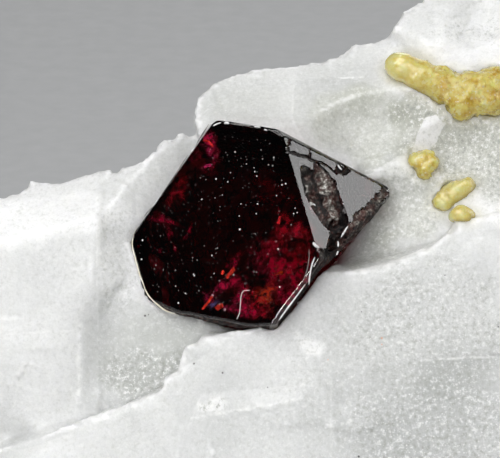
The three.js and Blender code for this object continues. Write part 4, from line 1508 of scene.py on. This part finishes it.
def make_yellow_grain(node, material, calcite, seed):
    large = "large" in node
    piece = copy_node(node, node.replace("yellow_", "amber_"))
    if not large:
        cut_angular(piece, seed)
    voxel_remesh(piece, GRAIN_VOXEL)
    mesh = piece.data
    rounds = LONG_GRAIN_ROUNDS if large else SMALL_GRAIN_ROUNDS
    points = neighbour_mean(mesh, read_points(mesh), rounds)
    write_points(mesh, points)
    local = to_front(points)
    if large:
        rough = 0.15 + 0.85 * smooth_step(local[:, 0], *SMOOTH_HEAD)
    else:
        rough = np.full(len(local), 0.9 if "upper" in node else 0.5)
    swell = 0.12 - 0.07 * rough if large else 0.13
    relief = swell + 0.03 * rough * layered_noise(local, 0.8, seed, 3)
    relief += rough * facet_relief(local, 0.45, seed + 3, 0.17)
    relief += 0.02 * rough * layered_noise(local, 0.22, seed + 5, 2)
    write_points(mesh, points + read_normals(mesh) * (relief * MM)[:, None])
    set_attribute(mesh, "rough", rough)
    # Nearness to the calcite, for the painted shade along the contact.
    set_attribute(mesh, "foot", 1 - smooth_step(distance_from(read_points(mesh), calcite), 0, 0.22))
    shade_smooth(piece, 50)
    mesh.materials.append(material)
    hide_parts(node)
    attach(piece, "root")


# ---------------------------------------------------------------- studio


def make_floor():
    half = 900 * MM
    mesh = bpy.data.meshes.new("floor")
    corners = [(-half, -half, 0), (half, -half, 0), (half, half, 0), (-half, half, 0)]
    mesh.from_pydata(corners, [], [(0, 1, 2, 3)])
    floor = link(bpy.data.objects.new("floor", mesh))
    floor.data.materials.append(floor_material())


def soft_box(name, direction, distance, size, power):
    """An area light that faces the specimen. Distance and size in millimetres."""
    lamp = bpy.data.lights.new(name, "AREA")
    lamp.shape = "RECTANGLE"
    lamp.size = size[0] * MM
    lamp.size_y = size[1] * MM
    lamp.energy = power
    target = Vector((0, 0, 8)) * MM
    place = target + Vector(direction).normalized() * distance * MM
    obj = link(bpy.data.objects.new(name, lamp))
    obj.location = place
    obj.rotation_euler = (target - place).to_track_quat("-Z", "Y").to_euler()
    obj.visible_camera = False


def make_lights():
    soft_box("key", (-0.38, -0.32, 0.87), 260, (210, 210), 0.46)
    soft_box("front_fill", (0.15, -0.95, 0.75), 300, (220, 140), 0.21)
    soft_box("low_strip", (-0.5, -0.85, 0.1), 200, (110, 16), 0.11)
    for place in ((-0.15, -0.75, 0.64), (0.55, -0.62, 0.55), (-0.1, 0.45, 0.88)):
        soft_box("glint", place, 240, (22, 22), 0.03)
    soft_box("right_box", (0.83, 0.105, 0.547), 240, (110, 110), 0.12)
    soft_box("back_fill", (0.2, 0.9, 0.55), 300, (200, 140), 0.2)


def make_world():
    world = bpy.data.worlds.new("studio")
    world.use_nodes = True
    background = world.node_tree.nodes["Background"]
    background.inputs["Color"].default_value = (0.9, 0.95, 1.0, 1)
    background.inputs["Strength"].default_value = 0.013
    bpy.context.scene.world = world


def make_camera():
    camera = bpy.data.cameras.new("camera")
    camera.lens = CAMERA_LENS
    camera.sensor_width = CAMERA_SENSOR
    camera.clip_start = 1 * MM
    obj = link(bpy.data.objects.new("camera", camera))
    obj.location = to_world([0, 0, CAMERA_DISTANCE])
    obj.rotation_euler = (math.pi / 2 - FRONT_LEAN, 0, 0)
    bpy.context.scene.camera = obj


def main():
    crystal = make_spinel()
    calcite = make_calcite(crystal)
    make_calcite_specks(calcite)
    make_rim()
    make_painted_edge_highlights()
    make_inclusions()
    make_dust()
    yellow = yellow_material()
    grains = sorted(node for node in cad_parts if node.startswith("yellow_grain"))
    for index, node in enumerate(grains):
        make_yellow_grain(node, yellow, calcite, 20 + 10 * index)
    make_floor()
    make_lights()
    make_world()
    make_camera()
    bpy.context.scene.view_settings.view_transform = "Standard"


main()
